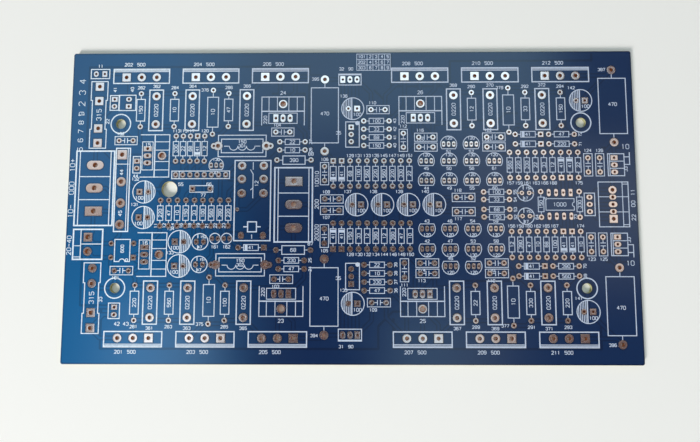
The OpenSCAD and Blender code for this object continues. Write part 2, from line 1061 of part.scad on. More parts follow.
module all_pads() {
    output_transistor_pads();
    driver_pads();
    bias_transistor_pads();
    small_transistor_pads();
    small_resistor_pads();
    half_watt_resistor_pads();
    two_watt_resistor_pads();
    emitter_resistor_pads();
    ceramic_resistor_pads();
    diode_pads();
    film_capacitor_pads();
    large_can_pads();
    medium_can_pads();
    small_can_pads();
    inductor_pads();
    op_amp_pads();
    input_connector_pads();
    gain_trimmer_pads();
    bias_trimmer_pads();
    pin_header_pads();
    relay_pads();
    all_terminal_pads();
    rectifier_pads();
    fuse_clip_pads();
    via_pad();
}

module board_outline() {
    square([board_w - 2 * board_corner_r, board_d], center = true);
    square([board_w, board_d - 2 * board_corner_r], center = true);
    for (x = [-1, 1], y = [-1, 1])
        translate([x * (board_w / 2 - board_corner_r), y * (board_d / 2 - board_corner_r)])
            circle(r = board_corner_r);
}

module laminate() {
    $layer = "drilling";
    color(laminate_color)
        translate([0, 0, mask_t])
            linear_extrude(laminate_t)
                difference() {
                    board_outline();
                    all_pads();
                    plain_holes();
                }
}

module mask_coat() {
    $layer = "opening";
    color(mask_color)
        linear_extrude(mask_t)
            difference() {
                board_outline();
                all_pads();
                plain_holes();
            }
}

laminate();
translate([0, 0, board_t - mask_t]) mask_coat();  // solder_mask_top
mask_coat();  // solder_mask_bottom

plated() output_transistor_pads();  // output_transistor_lands
plated() driver_pads();  // driver_lands
plated() bias_transistor_pads();  // bias_transistor_lands
plated() small_transistor_pads();  // small_transistor_lands
plated() small_resistor_pads();  // small_resistor_lands
plated() half_watt_resistor_pads();  // half_watt_resistor_lands
plated() two_watt_resistor_pads();  // two_watt_resistor_lands
plated() emitter_resistor_pads();  // emitter_resistor_lands
plated() ceramic_resistor_pads();  // ceramic_resistor_lands
plated() diode_pads();  // diode_lands
plated() film_capacitor_pads();  // film_capacitor_lands
plated() large_can_pads();  // large_can_lands
plated() medium_can_pads();  // medium_can_lands
plated() small_can_pads();  // small_can_lands
plated() inductor_pads();  // inductor_lands
plated() op_amp_pads();  // op_amp_lands
plated() input_connector_pads();  // input_connector_lands
plated() gain_trimmer_pads();  // gain_trimmer_lands
plated() bias_trimmer_pads();  // bias_trimmer_lands
plated() pin_header_pads();  // pin_header_lands
plated() relay_pads();  // relay_lands
plated() speaker_terminal_pads();  // speaker_terminal_lands
plated() supply_terminal_pads();  // supply_terminal_lands
plated() supply_strip_pads();  // supply_strip_lands
plated() ac_terminal_pads();  // ac_terminal_lands
plated() rectifier_pads();  // rectifier_lands
plated() fuse_clip_pads();  // fuse_clip_lands
plated() via_pad();  // via_land

printed() {  // output_transistor_print
        output_transistor_places() output_transistor_outline();
        output_transistor_pads();
    }
printed() {  // driver_print
        driver_places() driver_outline();
        driver_pads();
    }
printed() {  // bias_transistor_print
        turned_channels([bias_transistor_site]) bias_transistor_outline();
        bias_transistor_pads();
    }
printed() {  // small_transistor_print
        small_transistor_outlines();
        small_transistor_pads();
    }
printed() small_resistor_places() small_resistor_outline();  // small_resistor_print
printed() both_channels() at(half_watt_sites) half_watt_resistor_outline();  // half_watt_resistor_print
printed() both_channels() at(two_watt_sites) two_watt_resistor_outline();  // two_watt_resistor_print
printed() both_channels() at(emitter_sites) emitter_resistor_outline();  // emitter_resistor_print
printed() both_channels() at(ceramic_sites) ceramic_resistor_outline();  // ceramic_resistor_print
printed() diode_places() diode_outline();  // diode_print
printed() {  // film_capacitor_print
        both_channels() at(film_sites) film_capacitor_outline();
        film_capacitor_pads();
    }
printed() {  // large_can_print
        large_can_places() large_can_outline();
        large_can_pads();
    }
printed() {  // medium_can_print
        at(concat(timing_can_sites, input_can_sites)) medium_can_outline();
        medium_can_pads();
    }
printed() {  // small_can_print
        at(small_can_sites) ring(small_can_r, body_line);
        small_can_pads();
    }
printed() {  // inductor_print
        at(inductor_sites) inductor_outline();
        inductor_pads();
    }
printed() at([op_amp_site]) op_amp_outline();  // op_amp_print
printed() {  // input_connector_print
        at([input_connector_site]) input_connector_outline();
        input_connector_pads();
    }
printed() {  // trimmer_print
        union() {
            at(gain_trimmer_sites) gain_trimmer_outline();
            both_channels() at([gain_trimmer_sites[0]]) gain_trimmer_hook();
            at(bias_trimmer_sites) bias_trimmer_outline();
        }
        union() {
            gain_trimmer_pads();
            bias_trimmer_pads();
        }
    }
printed() {  // pin_header_print
        pin_header_outlines();
        pin_header_pads();
    }
printed() at([relay_site]) relay_outline();  // relay_print
printed() {  // terminal_print
        all_terminal_outlines();
        all_terminal_pads();
    }
printed() at([rectifier_site]) rectifier_outline();  // rectifier_print
printed() {  // fuse_clip_print
        both_channels() at([fuse_clip_site]) fuse_clip_outline();
        fuse_clip_pads();
    }
printed() mounting_places() ring(mount_ring_r, heavy_line);  // mounting_ring_print
printed() translate(week_table_at) week_table_outline();  // week_table_print
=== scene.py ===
"""Dresses the bare amplifier board: mask over its copper, tinned lands, print, floor, lamp and camera."""

import json
import math
from itertools import chain

import bpy
import numpy as np
from bpy.props import FloatProperty, FloatVectorProperty, IntProperty, PointerProperty, StringProperty
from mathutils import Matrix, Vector
from mathutils.geometry import delaunay_2d_cdt


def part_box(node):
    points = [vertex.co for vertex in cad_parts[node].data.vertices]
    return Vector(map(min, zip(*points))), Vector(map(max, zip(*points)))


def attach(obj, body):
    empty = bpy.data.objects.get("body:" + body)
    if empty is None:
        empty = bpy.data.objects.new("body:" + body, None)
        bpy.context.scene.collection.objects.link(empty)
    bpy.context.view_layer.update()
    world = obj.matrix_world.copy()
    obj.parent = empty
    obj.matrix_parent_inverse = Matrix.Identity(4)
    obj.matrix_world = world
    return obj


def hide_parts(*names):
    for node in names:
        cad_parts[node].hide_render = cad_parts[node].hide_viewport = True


bl_info = {
    "name": "Amplifier board dresser",
    "version": (1, 0, 0),
    "blender": (4, 5, 0),
    "location": "3D View > Sidebar > Board",
    "description": "Gives a bare circuit board its mask, copper, lands, print, lettering, floor and lamps",
    "category": "Object",
}

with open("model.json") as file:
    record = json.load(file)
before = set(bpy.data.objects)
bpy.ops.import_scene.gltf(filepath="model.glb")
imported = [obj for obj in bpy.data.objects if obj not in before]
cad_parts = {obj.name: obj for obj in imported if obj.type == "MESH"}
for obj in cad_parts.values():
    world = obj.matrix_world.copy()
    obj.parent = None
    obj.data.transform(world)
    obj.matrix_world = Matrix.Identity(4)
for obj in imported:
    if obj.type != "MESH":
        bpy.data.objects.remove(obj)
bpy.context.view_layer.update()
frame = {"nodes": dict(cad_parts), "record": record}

MM = 0.001
NODES = sorted(frame["nodes"])
LAND_NODES = [name for name in NODES if name.endswith("_lands") or name == "via_land"]
PRINT_NODES = [name for name in NODES if name.endswith("_print")]

# Heights of the layers above the underside, in metres, as the frame gives them.
LAMINATE_LOW, LAMINATE_HIGH = (corner.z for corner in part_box("laminate"))
MASK_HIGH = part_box("solder_mask_top")[1].z
LAND_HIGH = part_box("small_resistor_lands")[1].z
INK_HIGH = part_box("small_resistor_print")[1].z
BOARD_HALF = np.array([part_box("laminate")[1].x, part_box("laminate")[1].y])


# ---- Sizes and colours a user would change ----


def hex_colour(name, description, default):
    """A property that holds an sRGB hex colour."""
    return StringProperty(name=name, description=description + ", sRGB hex", default=default)


def length_mm(name, description, millimetres):
    """A property that holds a length, given in millimetres and kept in metres."""
    return FloatProperty(name=name, description=description, default=millimetres * MM, unit="LENGTH")


def fraction(name, description, default):
    """A property that holds a value from 0 to 1."""
    return FloatProperty(name=name, description=description, default=default, min=0.0, max=1.0)


def side_count(name, description, default):
    """A property that holds how many sides a round shape has."""
    return IntProperty(name=name, description=description, default=default, min=8, max=96)


def position(name, description, default):
    """A property that holds a point, in metres."""
    return FloatVectorProperty(name=name, description=description, default=default, subtype="TRANSLATION")


class MaskSettings(bpy.types.PropertyGroup):
    # The first two colours are painted light: the mask lit at the supply end, and in painted shade at the
    # input end.
    thin_blue: hex_colour("Thin mask", "Mask over copper at the supply end", "085E95")
    thick_blue: hex_colour("Thick mask", "Mask over copper at the input end", "08234A")
    bare_shade: fraction("Shade over laminate", "Brightness of the mask where no copper lies under it", 0.68)
    copper_step: length_mm("Copper step", "Drop from the mask over copper to the mask between", 0.012)
    opening_gap: length_mm("Opening gap", "Bare ring between a land and the mask", 0.03)
    roughness: fraction("Roughness", "Roughness of the cured mask", 0.17)


class CopperSettings(bpy.types.PropertyGroup):
    track_width: length_mm("Track width", "Width of a copper track", 0.8)
    isolation: length_mm("Isolation", "Bare gap on each side of a track or round a land", 0.45)
    moat_width: length_mm("Moat width", "Bare line between two copper areas", 0.8)
    longest_track: length_mm("Longest track", "Longest reach of one track", 26)


class LandSettings(bpy.types.PropertyGroup):
    tin: hex_colour("Tin", "Colour of fresh tin", "FAE2E0")
    stained_tin: hex_colour("Stained tin", "Colour of tin stained by flux", "EFD6CE")
    # The barrel colour is painted shade and a painted warm reflection inside the holes, in place of the
    # tin's own colour.
    barrel: hex_colour("Barrel", "Colour of the metal inside a hole", "D2976D")
    corner_radius: length_mm("Corner radius", "Radius at the corners of a square land", 0.18)
    small_sides: side_count("Small sides", "Sides round a wire land", 16)
    large_sides: side_count("Large sides", "Sides round a power land", 28)


class PrintSettings(bpy.types.PropertyGroup):
    # These two whites are painted light: the print lit at the supply end, and in painted shade at the input
    # end.
    thick_ink: hex_colour("Thick ink", "Print at the supply end, where the ink lies thick", "E4F0FB")
    thin_ink: hex_colour("Thin ink", "Print at the input end, where the ink lies thinner", "BEC8DC")
    worn_ink: hex_colour("Worn ink", "Spots where the mask shows through the print", "8FA8CC")
    stroke: length_mm("Stroke", "Width of a figure's stroke", 0.2)
    label_height: length_mm("Label height", "Height of a part's number", 1.15)


class StageSettings(bpy.types.PropertyGroup):
    floor: hex_colour("Floor", "Colour of the floor", "EDEBE8")
    camera_place: position("Camera place", "Where the camera stands", (0.0023, -0.0166, 0.1761))
    camera_turn: FloatVectorProperty(
        name="Camera turn",
        description="How the camera is turned from looking straight down",
        default=(math.radians(4.65), math.radians(0.66), math.radians(-0.01)),
        subtype="EULER",
    )
    camera_shift: FloatVectorProperty(
        name="Camera shift",
        description="Shift of the picture across and up, in picture widths",
        default=(-0.0021, -0.0136),
        size=2,
    )
    focal_length: FloatProperty(
        name="Focal length",
        description="Lens for a sensor 36 mm wide",
        default=25.7,
        subtype="DISTANCE_CAMERA",
    )
    lamp_place: position("Lamp place", "Where the side lamp stands", (-0.9, -1.25, 0.95))
    lamp_power: FloatProperty(
        name="Lamp power", description="Power of the side lamp", default=33.0, min=0.0, unit="POWER"
    )


SETTINGS = {
    "board_mask": MaskSettings,
    "board_copper": CopperSettings,
    "board_lands": LandSettings,
    "board_print": PrintSettings,
    "board_stage": StageSettings,
}


# ---- Colours and shader nodes ----


def linear(code, shade=1.0):
    """Turns an sRGB hex colour into linear red, green and blue, times a shade, and a full alpha."""
    parts = np.array([int(code[i : i + 2], 16) / 255 for i in (0, 2, 4)])
    value = np.where(parts <= 0.04045, parts / 12.92, ((parts + 0.055) / 1.055) ** 2.4) * shade
    return (*value.tolist(), 1.0)


def add(tree, kind, inputs=None, **settings):
    """Adds a node with its settings; each input takes a value or another node's output."""
    node = tree.nodes.new(kind)
    for name, value in settings.items():
        setattr(node, name, value)
    for name, value in (inputs or {}).items():
        if isinstance(value, bpy.types.NodeSocket):
            tree.links.new(value, node.inputs[name])
        else:
            node.inputs[name].default_value = value
    return node


def mix_colours(tree, amount, first, second):
    """Mixes two colours: the first where the amount is 0, the second where it is 1."""
    return add(tree, "ShaderNodeMix", {0: amount, 6: first, 7: second}, data_type="RGBA").outputs[2]


def mix_values(tree, amount, first, second):
    """Mixes two numbers: the first where the amount is 0, the second where it is 1."""
    return add(tree, "ShaderNodeMix", {0: amount, 2: first, 3: second}).outputs[0]


def remap(tree, value, low, high, to_low=0.0, to_high=1.0, curve="LINEAR"):
    """Carries a value between two limits over to two other limits, and holds it there."""
    inputs = {"Value": value, "From Min": low, "From Max": high, "To Min": to_low, "To Max": to_high}
    return add(tree, "ShaderNodeMapRange", inputs, interpolation_type=curve).outputs["Result"]


def noise(tree, place, size_mm, detail):
    """Noise whose patches are about this many millimetres across."""
    inputs = {"Vector": place, "Scale": 1 / (size_mm * MM), "Detail": detail}
    return add(tree, "ShaderNodeTexNoise", inputs).outputs["Fac"]


def bump(tree, height, strength, depth_mm):
    """A surface's normal, tilted by a height that is up to this many millimetres."""
    inputs = {"Height": height, "Strength": strength, "Distance": depth_mm * MM}
    return add(tree, "ShaderNodeBump", inputs).outputs["Normal"]


def maths(tree, operation, *values):
    """One step of arithmetic on up to three values."""
    return add(tree, "ShaderNodeMath", dict(enumerate(values)), operation=operation).outputs[0]


def start_material(name):
    """Returns a new material, its empty tree, the place of a point on the board and its X, Y and Z."""
    material = bpy.data.materials.new(name)
    material.use_nodes = True
    tree = material.node_tree
    tree.nodes.clear()
    place = add(tree, "ShaderNodeTexCoord").outputs["Object"]
    return material, tree, place, add(tree, "ShaderNodeSeparateXYZ", {"Vector": place}).outputs


def end_material(tree, inputs):
    """Joins a Principled shader with these inputs to the material's output."""
    shader = add(tree, "ShaderNodeBsdfPrincipled", inputs)
    add(tree, "ShaderNodeOutputMaterial", {"Surface": shader.outputs["BSDF"]})


def near_supply(tree, axes):
    """How near a point is to the supply end: 1 within 20 mm of it, and 0 from 22 mm before the middle on."""
    return remap(tree, axes["X"], -22 * MM, -80 * MM, curve="SMOOTHSTEP")


def mask_material(name, shade, settings):
    # Liquid light-cured epoxy, screened on, dried and cured: a glossy coat that
    # follows the copper, with a faint orange peel. It looks lighter over copper.
    material, tree, place, axes = start_material(name)
    # Painted light: the mask is painted brightest at the supply end's lower corner, where
    # more light falls, and painted darker, as shade, towards the input end. Its tone also
    # drifts a little at random over tens of millimetres.
    drift = noise(tree, place, 45, 2.0)
    lower = remap(tree, axes["Y"], 48 * MM, -36 * MM, to_low=0.46)
    painted_light = maths(tree, "MULTIPLY", near_supply(tree, axes), lower)
    painted_light = mix_values(tree, 0.08, painted_light, drift)
    # The peel is about 0.9 mm from crest to crest and under a micron high.
    peel = noise(tree, place, 0.9, 1.0)
    blues = [linear(blue, shade) for blue in (settings.thick_blue, settings.thin_blue)]
    end_material(
        tree,
        {
            "Base Color": mix_colours(tree, painted_light, *blues),
            "Roughness": remap(tree, drift, 0, 1, settings.roughness - 0.04, settings.roughness + 0.05),
            "Normal": bump(tree, peel, 0.08, 0.01),
            "IOR": 1.6,
        },
    )
    return material


def tin_material(settings):
    # Tin put on by dipping and levelling with hot air: bright, faintly rippled metal,
    # with warm patches that are partly flux stain and partly a painted warm reflection of
    # the room, and a painted brown shade and warm reflection inside the holes.
    material, tree, place, axes = start_material("hot-air levelled tin")
    stain_and_reflection = remap(tree, noise(tree, place, 16, 3.0), 0.45, 0.7, to_high=0.8)
    flange = mix_colours(tree, stain_and_reflection, linear(settings.tin), linear(settings.stained_tin))
    # The painted brown shade and warm reflection set in just inside each end of a hole.
    above = remap(tree, axes["Z"], LAND_HIGH - 0.1 * MM, LAND_HIGH - 0.02 * MM)
    below = remap(tree, axes["Z"], 0.06 * MM, 0.02 * MM)
    outside = maths(tree, "MAXIMUM", above, below)
    # Ripples left by the air knife are a third of a millimetre apart.
    ripple = noise(tree, place, 0.35, 2.0)
    end_material(
        tree,
        {
            "Base Color": mix_colours(tree, outside, linear(settings.barrel), flange),
            "Metallic": 1.0,
            "Roughness": remap(tree, ripple, 0, 1, 0.1, 0.24),
            "Normal": bump(tree, ripple, 0.08, 0.02),
        },
    )
    return material


def ink_material(settings):
    # Epoxy ink pushed through a screen: cold white, satin, a little thin in places.
    material, tree, place, axes = start_material("screen-printed epoxy ink")
    spots = noise(tree, place, 0.7, 3.0)
    worn = remap(tree, spots, 0.45, 0.8, to_high=0.45)
    whites = [linear(white) for white in (settings.thin_ink, settings.thick_ink)]
    # Painted light: the ink is painted lighter at the supply end and darker, as painted shade, towards the
    # input end.
    ink = mix_colours(tree, near_supply(tree, axes), *whites)
    end_material(
        tree,
        {
            "Base Color": mix_colours(tree, worn, ink, linear(settings.worn_ink)),
            "Roughness": 0.55,
            "Normal": bump(tree, spots, 0.15, 0.01),
            "IOR": 1.5,
        },
    )
    return material


CLOTH_LAYERS = 8


def laminate_material():
    # Glass cloth pressed in epoxy and cut by a router: eight pale layers of cloth
    # show at the edge as fine level bands in olive yellow resin.
    material, tree, place, axes = start_material("glass-fibre epoxy laminate")
    turns = maths(tree, "MULTIPLY", axes["Z"], 2 * math.pi * CLOTH_LAYERS / (LAMINATE_HIGH - LAMINATE_LOW))
    band = remap(tree, maths(tree, "SINE", turns), -1, 1)
    # Cut yarn ends are half a millimetre apart along the edge.
    yarn = noise(tree, place, 0.5, 3.0)
    cloth = mix_values(tree, 0.5, band, yarn)
    end_material(
        tree,
        {
            "Base Color": mix_colours(tree, cloth, linear("7C7F4A"), linear("CFCBA0")),
            "Roughness": 0.7,
            "Normal": bump(tree, cloth, 0.3, 0.04),
            "IOR": 1.55,
        },
    )
    return material


# ---- Meshes from arrays ----


def place_object(name, data):
    """Puts a new object that holds this data into the scene."""
    piece = bpy.data.objects.new(name, data)
    bpy.context.scene.collection.objects.link(piece)
    return piece


def make_piece(name, corners, faces, materials, material_index=None):
    """Puts arrays of corners and equal-sided, flat-shaded faces into an object that rides on the board."""
    mesh = bpy.data.meshes.new(name)
    mesh.vertices.add(len(corners))
    mesh.vertices.foreach_set("co", np.asarray(corners, np.float32).ravel())
    mesh.loops.add(faces.size)
    mesh.loops.foreach_set("vertex_index", np.asarray(faces, np.int32).ravel())
    mesh.polygons.add(len(faces))
    mesh.polygons.foreach_set("loop_start", np.arange(0, faces.size, faces.shape[1], dtype=np.int32))
    mesh.polygons.foreach_set("use_smooth", np.zeros(len(faces), bool))
    if material_index is not None:
        mesh.polygons.foreach_set("material_index", np.asarray(material_index, np.int32))
    for material in materials:
        mesh.materials.append(material)
    mesh.update(calc_edges=True)
    if mesh.validate():
        print(name, "had faces that were mended")
    piece = place_object(name, mesh)
    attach(piece, "root")
    return piece


def dress_node(node, material):
    """Gives a carried-over CAD node its material."""
    mesh = frame["nodes"][node].data
    mesh.materials.clear()
    mesh.materials.append(material)


# How far a corner may be from a level, and from another corner at the same place.
LEVEL_SLACK, SAME_PLACE = 3e-6, 1e-6


def level_patches(node, height):
    """Finds the separate patches of a CAD node's level faces at one height.

    Corners at one place share a number. Each triangle takes the lowest number at its
    corners and hands it back to them until nothing changes, so a patch ends with one
    number of its own. Each row is a patch: the middle and half size of its box, the
    least distance of a corner from the middle, and from a corner of the box.
    """
    mesh = frame["nodes"][node].data
    mesh.calc_loop_triangles()
    corners = np.empty(len(mesh.vertices) * 3, np.float32)
    mesh.vertices.foreach_get("co", corners)
    triangles = np.empty(len(mesh.loop_triangles) * 3, np.int32)
    mesh.loop_triangles.foreach_get("vertices", triangles)
    shape = corners.reshape(-1, 3).astype(float)[triangles.reshape(-1, 3)]
    flat = shape[np.abs(shape[..., 2] - height).max(axis=1) < LEVEL_SLACK][..., :2]
    _, number = np.unique(np.round(flat.reshape(-1, 2) / SAME_PLACE), axis=0, return_inverse=True)
    number = number.reshape(-1, 3)
    label = np.arange(number.max() + 1)
    while True:
        spread = label.copy()
        np.minimum.at(spread, number, label[number].min(axis=1)[:, None])
        spread = spread[spread]
        if np.array_equal(spread, label):
            break
        label = spread
    patch = label[number[:, 0]]
    rows = []
    for key in np.unique(patch):
        points = flat[patch == key].reshape(-1, 2)
        middle = (points.min(axis=0) + points.max(axis=0)) / 2
        half = (points.max(axis=0) - points.min(axis=0)) / 2
        off = np.abs(points - middle)
        rows.append([*middle, *half, np.hypot(*off.T).min(), np.hypot(*(half - off).T).min()])
    return np.array(rows)


# A land whose outline comes nearer than this to a corner of its box is square.
SQUARE_CORNER = 0.05 * MM
# The two round parts of an inductor's end: radius, side (1 is outward) and hole radius.
INDUCTOR_END = ((1.55 * MM, -1, 0.75 * MM), (1.05 * MM, 1, 0.45 * MM))


def node_lands(node, number=0):
    """A node's lands: middle, half size, hole radius, whether it is square, and the node's number.

    An inductor's end has two holes in one land and is read as two round ones.
    """
    patches = level_patches(node, LAND_HIGH)
    if node != "inductor_lands":
        square = patches[:, 5] < SQUARE_CORNER
        return np.column_stack([patches[:, :5], square, np.full(len(patches), number)])
    outward = np.sign(patches[:, 0] - patches[:, 0].mean())
    rows = []
    for radius, way, hole in INDUCTOR_END:
        x = patches[:, 0] + way * outward * (patches[:, 2] - radius)
        rows += [[px, py, radius, radius, hole, 0, number] for px, py in zip(x, patches[:, 1])]
    return np.array(rows)


def rounded_outline(middle, half, corner_r, count, grow=0.0):
    """Points round rounded rectangles, one row of points for each rectangle.

    At angle t a point is the middle, plus the half size less the corner radius in the
    direction of the signs of cos t and sin t, plus the corner circle at t. A corner
    radius equal to the smaller half size gives a circle or a bar with round ends.
    The outline is moved out by the growth.
    """
    angle = (np.arange(count) + 0.5) * 2 * math.pi / count
    way = np.stack([np.cos(angle), np.sin(angle)], axis=-1)
    straight = (half - corner_r[:, None])[:, None, :]
    return middle[:, None, :] + np.sign(way) * straight + (corner_r[:, None, None] + grow) * way


# Rings of a land from its rim over its flange, down its barrel and out again underneath:
# the share of the way from the hole to the rim, and the share of the land's height, with
# None for the laminate's face.
LAND_RINGS = ((1.0, None), (0.97, 0.997), (0.8, 0.9995), (0.3, 1.0), (0.0, 0.996), (0.0, 0.006), (1.0, 0.0))


def land_surfaces(lands, settings, count):
    """Slightly domed tinned rings with a barrel through the board.

    At angle t and ring k a point lies between the hole's circle and the rim's outline,
    at the ring's share of the way, and at the ring's height. The rim starts on the
    laminate, so no gap shows beside it.
    """
    middle, half, hole = lands[:, :2], lands[:, 2:4], lands[:, 4]
    corner_r = np.where(lands[:, 5] > 0, settings.corner_radius, half.min(axis=1))
    rim = rounded_outline(middle, half, corner_r, count)
    bore = rounded_outline(middle, hole[:, None].repeat(2, axis=1), hole, count)
    corners = np.empty((len(lands), len(LAND_RINGS), count, 3))
    for i, (outward, height) in enumerate(LAND_RINGS):
        corners[:, i, :, :2] = bore + outward * (rim - bore)
        corners[:, i, :, 2] = LAMINATE_HIGH if height is None else height * LAND_HIGH
    start = (np.arange(len(lands)) * len(LAND_RINGS) * count)[:, None, None]
    ring = (np.arange(len(LAND_RINGS) - 1) * count)[None, :, None]
    step = np.arange(count)[None, None, :]
    after = (step + 1) % count
    upper, lower = start + ring, start + ring + count
    faces = np.stack([upper + step, upper + after, lower + after, lower + step], axis=-1)
    return corners.reshape(-1, 3), faces.reshape(-1, 4)


# ---- Copper under the mask ----

# A land whose half depth is over this has the larger number of sides.
LARGE_LAND = 1.2 * MM
# Radii of the board's corners, of the copper's corners and of a square opening's, and
# how far the copper stays from the board's edge.
BOARD_CORNER, COPPER_CORNER, OPENING_CORNER = 0.8 * MM, 0.6 * MM, 0.05 * MM
COPPER_INSET = 0.5 * MM
# Radius of a mounting hole, the bare laminate round it as a share of that radius, and
# the width round it that tracks keep clear.
MOUNTING_HOLE = 1.75 * MM
HOLE_MOAT = 0.45
HOLE_CLEARANCE = 2.2 * MM
# How many neighbours of a land are tried, how many tracks a land may have, and how far
# apart two lands of one kind may be joined.
NEIGHBOURS, TRACKS_PER_LAND, SAME_KIND_REACH = 13, 2, 4.5 * MM
# A run of a path that is shorter than this is left out.
SHORTEST_RUN = 0.01 * MM
# Sides round the board, the copper, an opening, the bare line round a land and a hole.
BOARD_SIDES, COPPER_SIDES, OPENING_SIDES, MOAT_SIDES, HOLE_SIDES = 32, 16, 20, 12, 40

# Bare lines between the copper areas, in millimetres from the middle of the board.
TOP_MOATS = [
    [(-94, -9), (-94, -35), (-86.5, -35), (-86.5, -49.7), (9.5, -49.7), (9.5, -42), (14.5, -37), (20, -37)],
    [(-94, 21), (-94, 49.9), (-14.8, 49.9), (-14.8, 27)],
    [(-62, -6.6), (-46, -6.6), (-43, -9.5), (-28, -9.5)],
    [(-33.5, 42), (-33.5, 44), (-36, 44)],
    [(14.5, 54), (14.5, 42.4), (35.5, 42.4), (35.5, 51.6), (86, 51.6), (86, 54)],
    [(14.7, -39.5), (14.7, -49.6), (85.6, -49.6), (85.6, -40), (80, -34)],
    [(-28, 39.9), (-16.4, 39.9), (-16.4, 30)],
    [(8.5, 41), (12, 37.5), (12, 33)],
    [(38, 29.9), (52, 29.9), (55, 32.5), (59, 32.5)],
    [(-96.6, 19.6), (-82.5, 19.6)],
    [(36, -26.5), (60, -26.5), (64, -30), (66, -30)],
    [(76, 28), (76, 42), (79.5, 45.5), (88, 45.5)],
    [(88.5, 20), (96.5, 20)],
    [(88.5, -20), (96.5, -20)],
]
BOTTOM_MOATS = [
    [(-96, 0), (-84, 0), (-80, 4), (-28, 4), (-24, 0), (50, 0), (54, 4), (96, 4)],
    [(-96, 40), (30, 40), (34, 36), (96, 36)],
    [(-96, -40), (30, -40), (34, -36), (96, -36)],
    [(-12, 4), (-12, 40)],
    [(-12, 0), (-12, -40)],
    [(46, 8), (46, 36)],
    [(46, -4), (46, -36)],
]


def distance_to_segments(points, start, end):
    """Least distance of each point from each segment.

    The point is dropped onto the segment's line and held between its ends.
    """
    run = end - start
    length_2 = np.maximum((run**2).sum(axis=-1), 1e-18)
    along = np.clip(((points[:, None, :] - start) * run).sum(axis=-1) / length_2, 0, 1)
    return np.linalg.norm(points[:, None, :] - (start + along[..., None] * run), axis=-1)


def crosses(a, b, starts, ends):
    """True for each segment that crosses the one from a to b: each parts the other's ends."""

    def side(p, q, r):
        u, v = q - p, r - p
        return u[..., 0] * v[..., 1] - u[..., 1] * v[..., 0]

    return (side(a, b, starts) * side(a, b, ends) < 0) & (side(starts, ends, a) * side(starts, ends, b) < 0)


def bent_paths(a, b):
    """The two ways from a to b by one level or upright run and one run at 45 degrees."""
    run = b - a
    slant = np.sign(run) * np.abs(run).min()
    return [np.array([a, a + slant, b]), np.array([a, b - slant, b])]


def path_clears(a, b, centres, radius, starts, ends, settings):
    """Whether a path's segments from a to b keep clear of round lands and of other tracks."""
    reach = settings.track_width / 2 + settings.isolation
    if (distance_to_segments(centres, a, b) - radius[:, None]).min() < reach:
        return False
    if not len(starts):
        return True
    apart = min(
        distance_to_segments(np.concatenate([a, b]), starts, ends).min(),
        distance_to_segments(np.concatenate([starts, ends]), a, b).min(),
    )
    if apart < settings.track_width + settings.isolation:
        return False
    return not any(crosses(p, q, starts, ends).any() for p, q in zip(a, b))


def route_tracks(lands, settings, shortest, far_first):
    """Joins lands to their neighbours by tracks that clear every other land and track.

    For each land the nearest lands are tried in turn. A path is kept when its distance
    from all other lands, less their radius, and from all tracks of other lands is at
    least the isolation. Returns the tracks' starts and ends.
    """
    centres, radius = lands[:, :2], lands[:, 2:4].max(axis=1)
    starts, ends, owners = np.empty((0, 2)), np.empty((0, 2)), np.empty((0, 2), int)
    used = np.zeros(len(lands), int)
    apart = np.linalg.norm(centres[:, None] - centres[None], axis=2)
    for i in range(len(lands)):
        near = np.argsort(apart[i])[1 : 1 + NEIGHBOURS]
        near = near[(apart[i][near] > shortest) & (apart[i][near] < settings.longest_track)]
        for j in near[::-1] if far_first else near:
            far_kin = lands[i, 6] == lands[j, 6] and apart[i, j] > SAME_KIND_REACH
            if far_kin or used[[i, j]].max() >= TRACKS_PER_LAND:
                continue
            others = np.ones(len(lands), bool)
            others[[i, j]] = False
            free = ~((owners == i) | (owners == j)).any(axis=1)
            for path in bent_paths(centres[i], centres[j]):
                long = np.linalg.norm(np.diff(path, axis=0), axis=1) > SHORTEST_RUN
                a, b = path[:-1][long], path[1:][long]
                if path_clears(a, b, centres[others], radius[others], starts[free], ends[free], settings):
                    starts, ends = np.concatenate([starts, a]), np.concatenate([ends, b])
                    owners = np.concatenate([owners, np.tile([i, j], (len(a), 1))])
                    used[[i, j]] += 1
                    break
    return starts, ends


def bar_outlines(starts, ends, radius):
    """Outlines of bars with half-round ends, by points over the half turn away from the other end."""
    run = ends - starts
    heading = np.arctan2(run[:, 1], run[:, 0])
    turn = np.linspace(-math.pi / 2, math.pi / 2, 4)
    front = heading[:, None] + turn
    back = front + math.pi
    points = [
        ends[:, None, :] + radius * np.stack([np.cos(front), np.sin(front)], axis=-1),
        starts[:, None, :] + radius * np.stack([np.cos(back), np.sin(back)], axis=-1),
    ]
    return np.concatenate(points, axis=1)


BOARD, OPENING, MOAT, TRACK, COPPER_AREA = range(5)


def cut_plane(loops):
    """Cuts the plane along all the loops and says for each triangle which kinds of loop it lies in."""
    points = np.concatenate([loop for _, loop in loops]) / MM
    sizes = [len(loop) for _, loop in loops]
    firsts = np.concatenate([[0], np.cumsum(sizes)[:-1]])
    faces = [list(range(first, first + size)) for first, size in zip(firsts, sizes)]
    result = delaunay_2d_cdt([Vector(p) for p in points.tolist()], [], faces, 0, 1e-4, True)
    corners = np.array([tuple(v) for v in result[0]]) * MM
    triangles = np.array(result[2])
    inside = result[5]
    counts = np.fromiter(map(len, inside), int, len(inside))
    flat = np.fromiter(chain.from_iterable(inside), int, counts.sum())
    kinds = np.array([kind for kind, _ in loops])
    member = np.zeros((len(triangles), 5), bool)
    member[np.repeat(np.arange(len(triangles)), counts), kinds[flat]] = True
    return corners, triangles, member


def edge_keys(triangles, size):
    """Directed edges of triangles as pairs, and as one number each, forwards and backwards."""
    edges = np.concatenate([triangles[:, [0, 1]], triangles[:, [1, 2]], triangles[:, [2, 0]]])
    return edges, edges[:, 0] * size + edges[:, 1], edges[:, 1] * size + edges[:, 0]


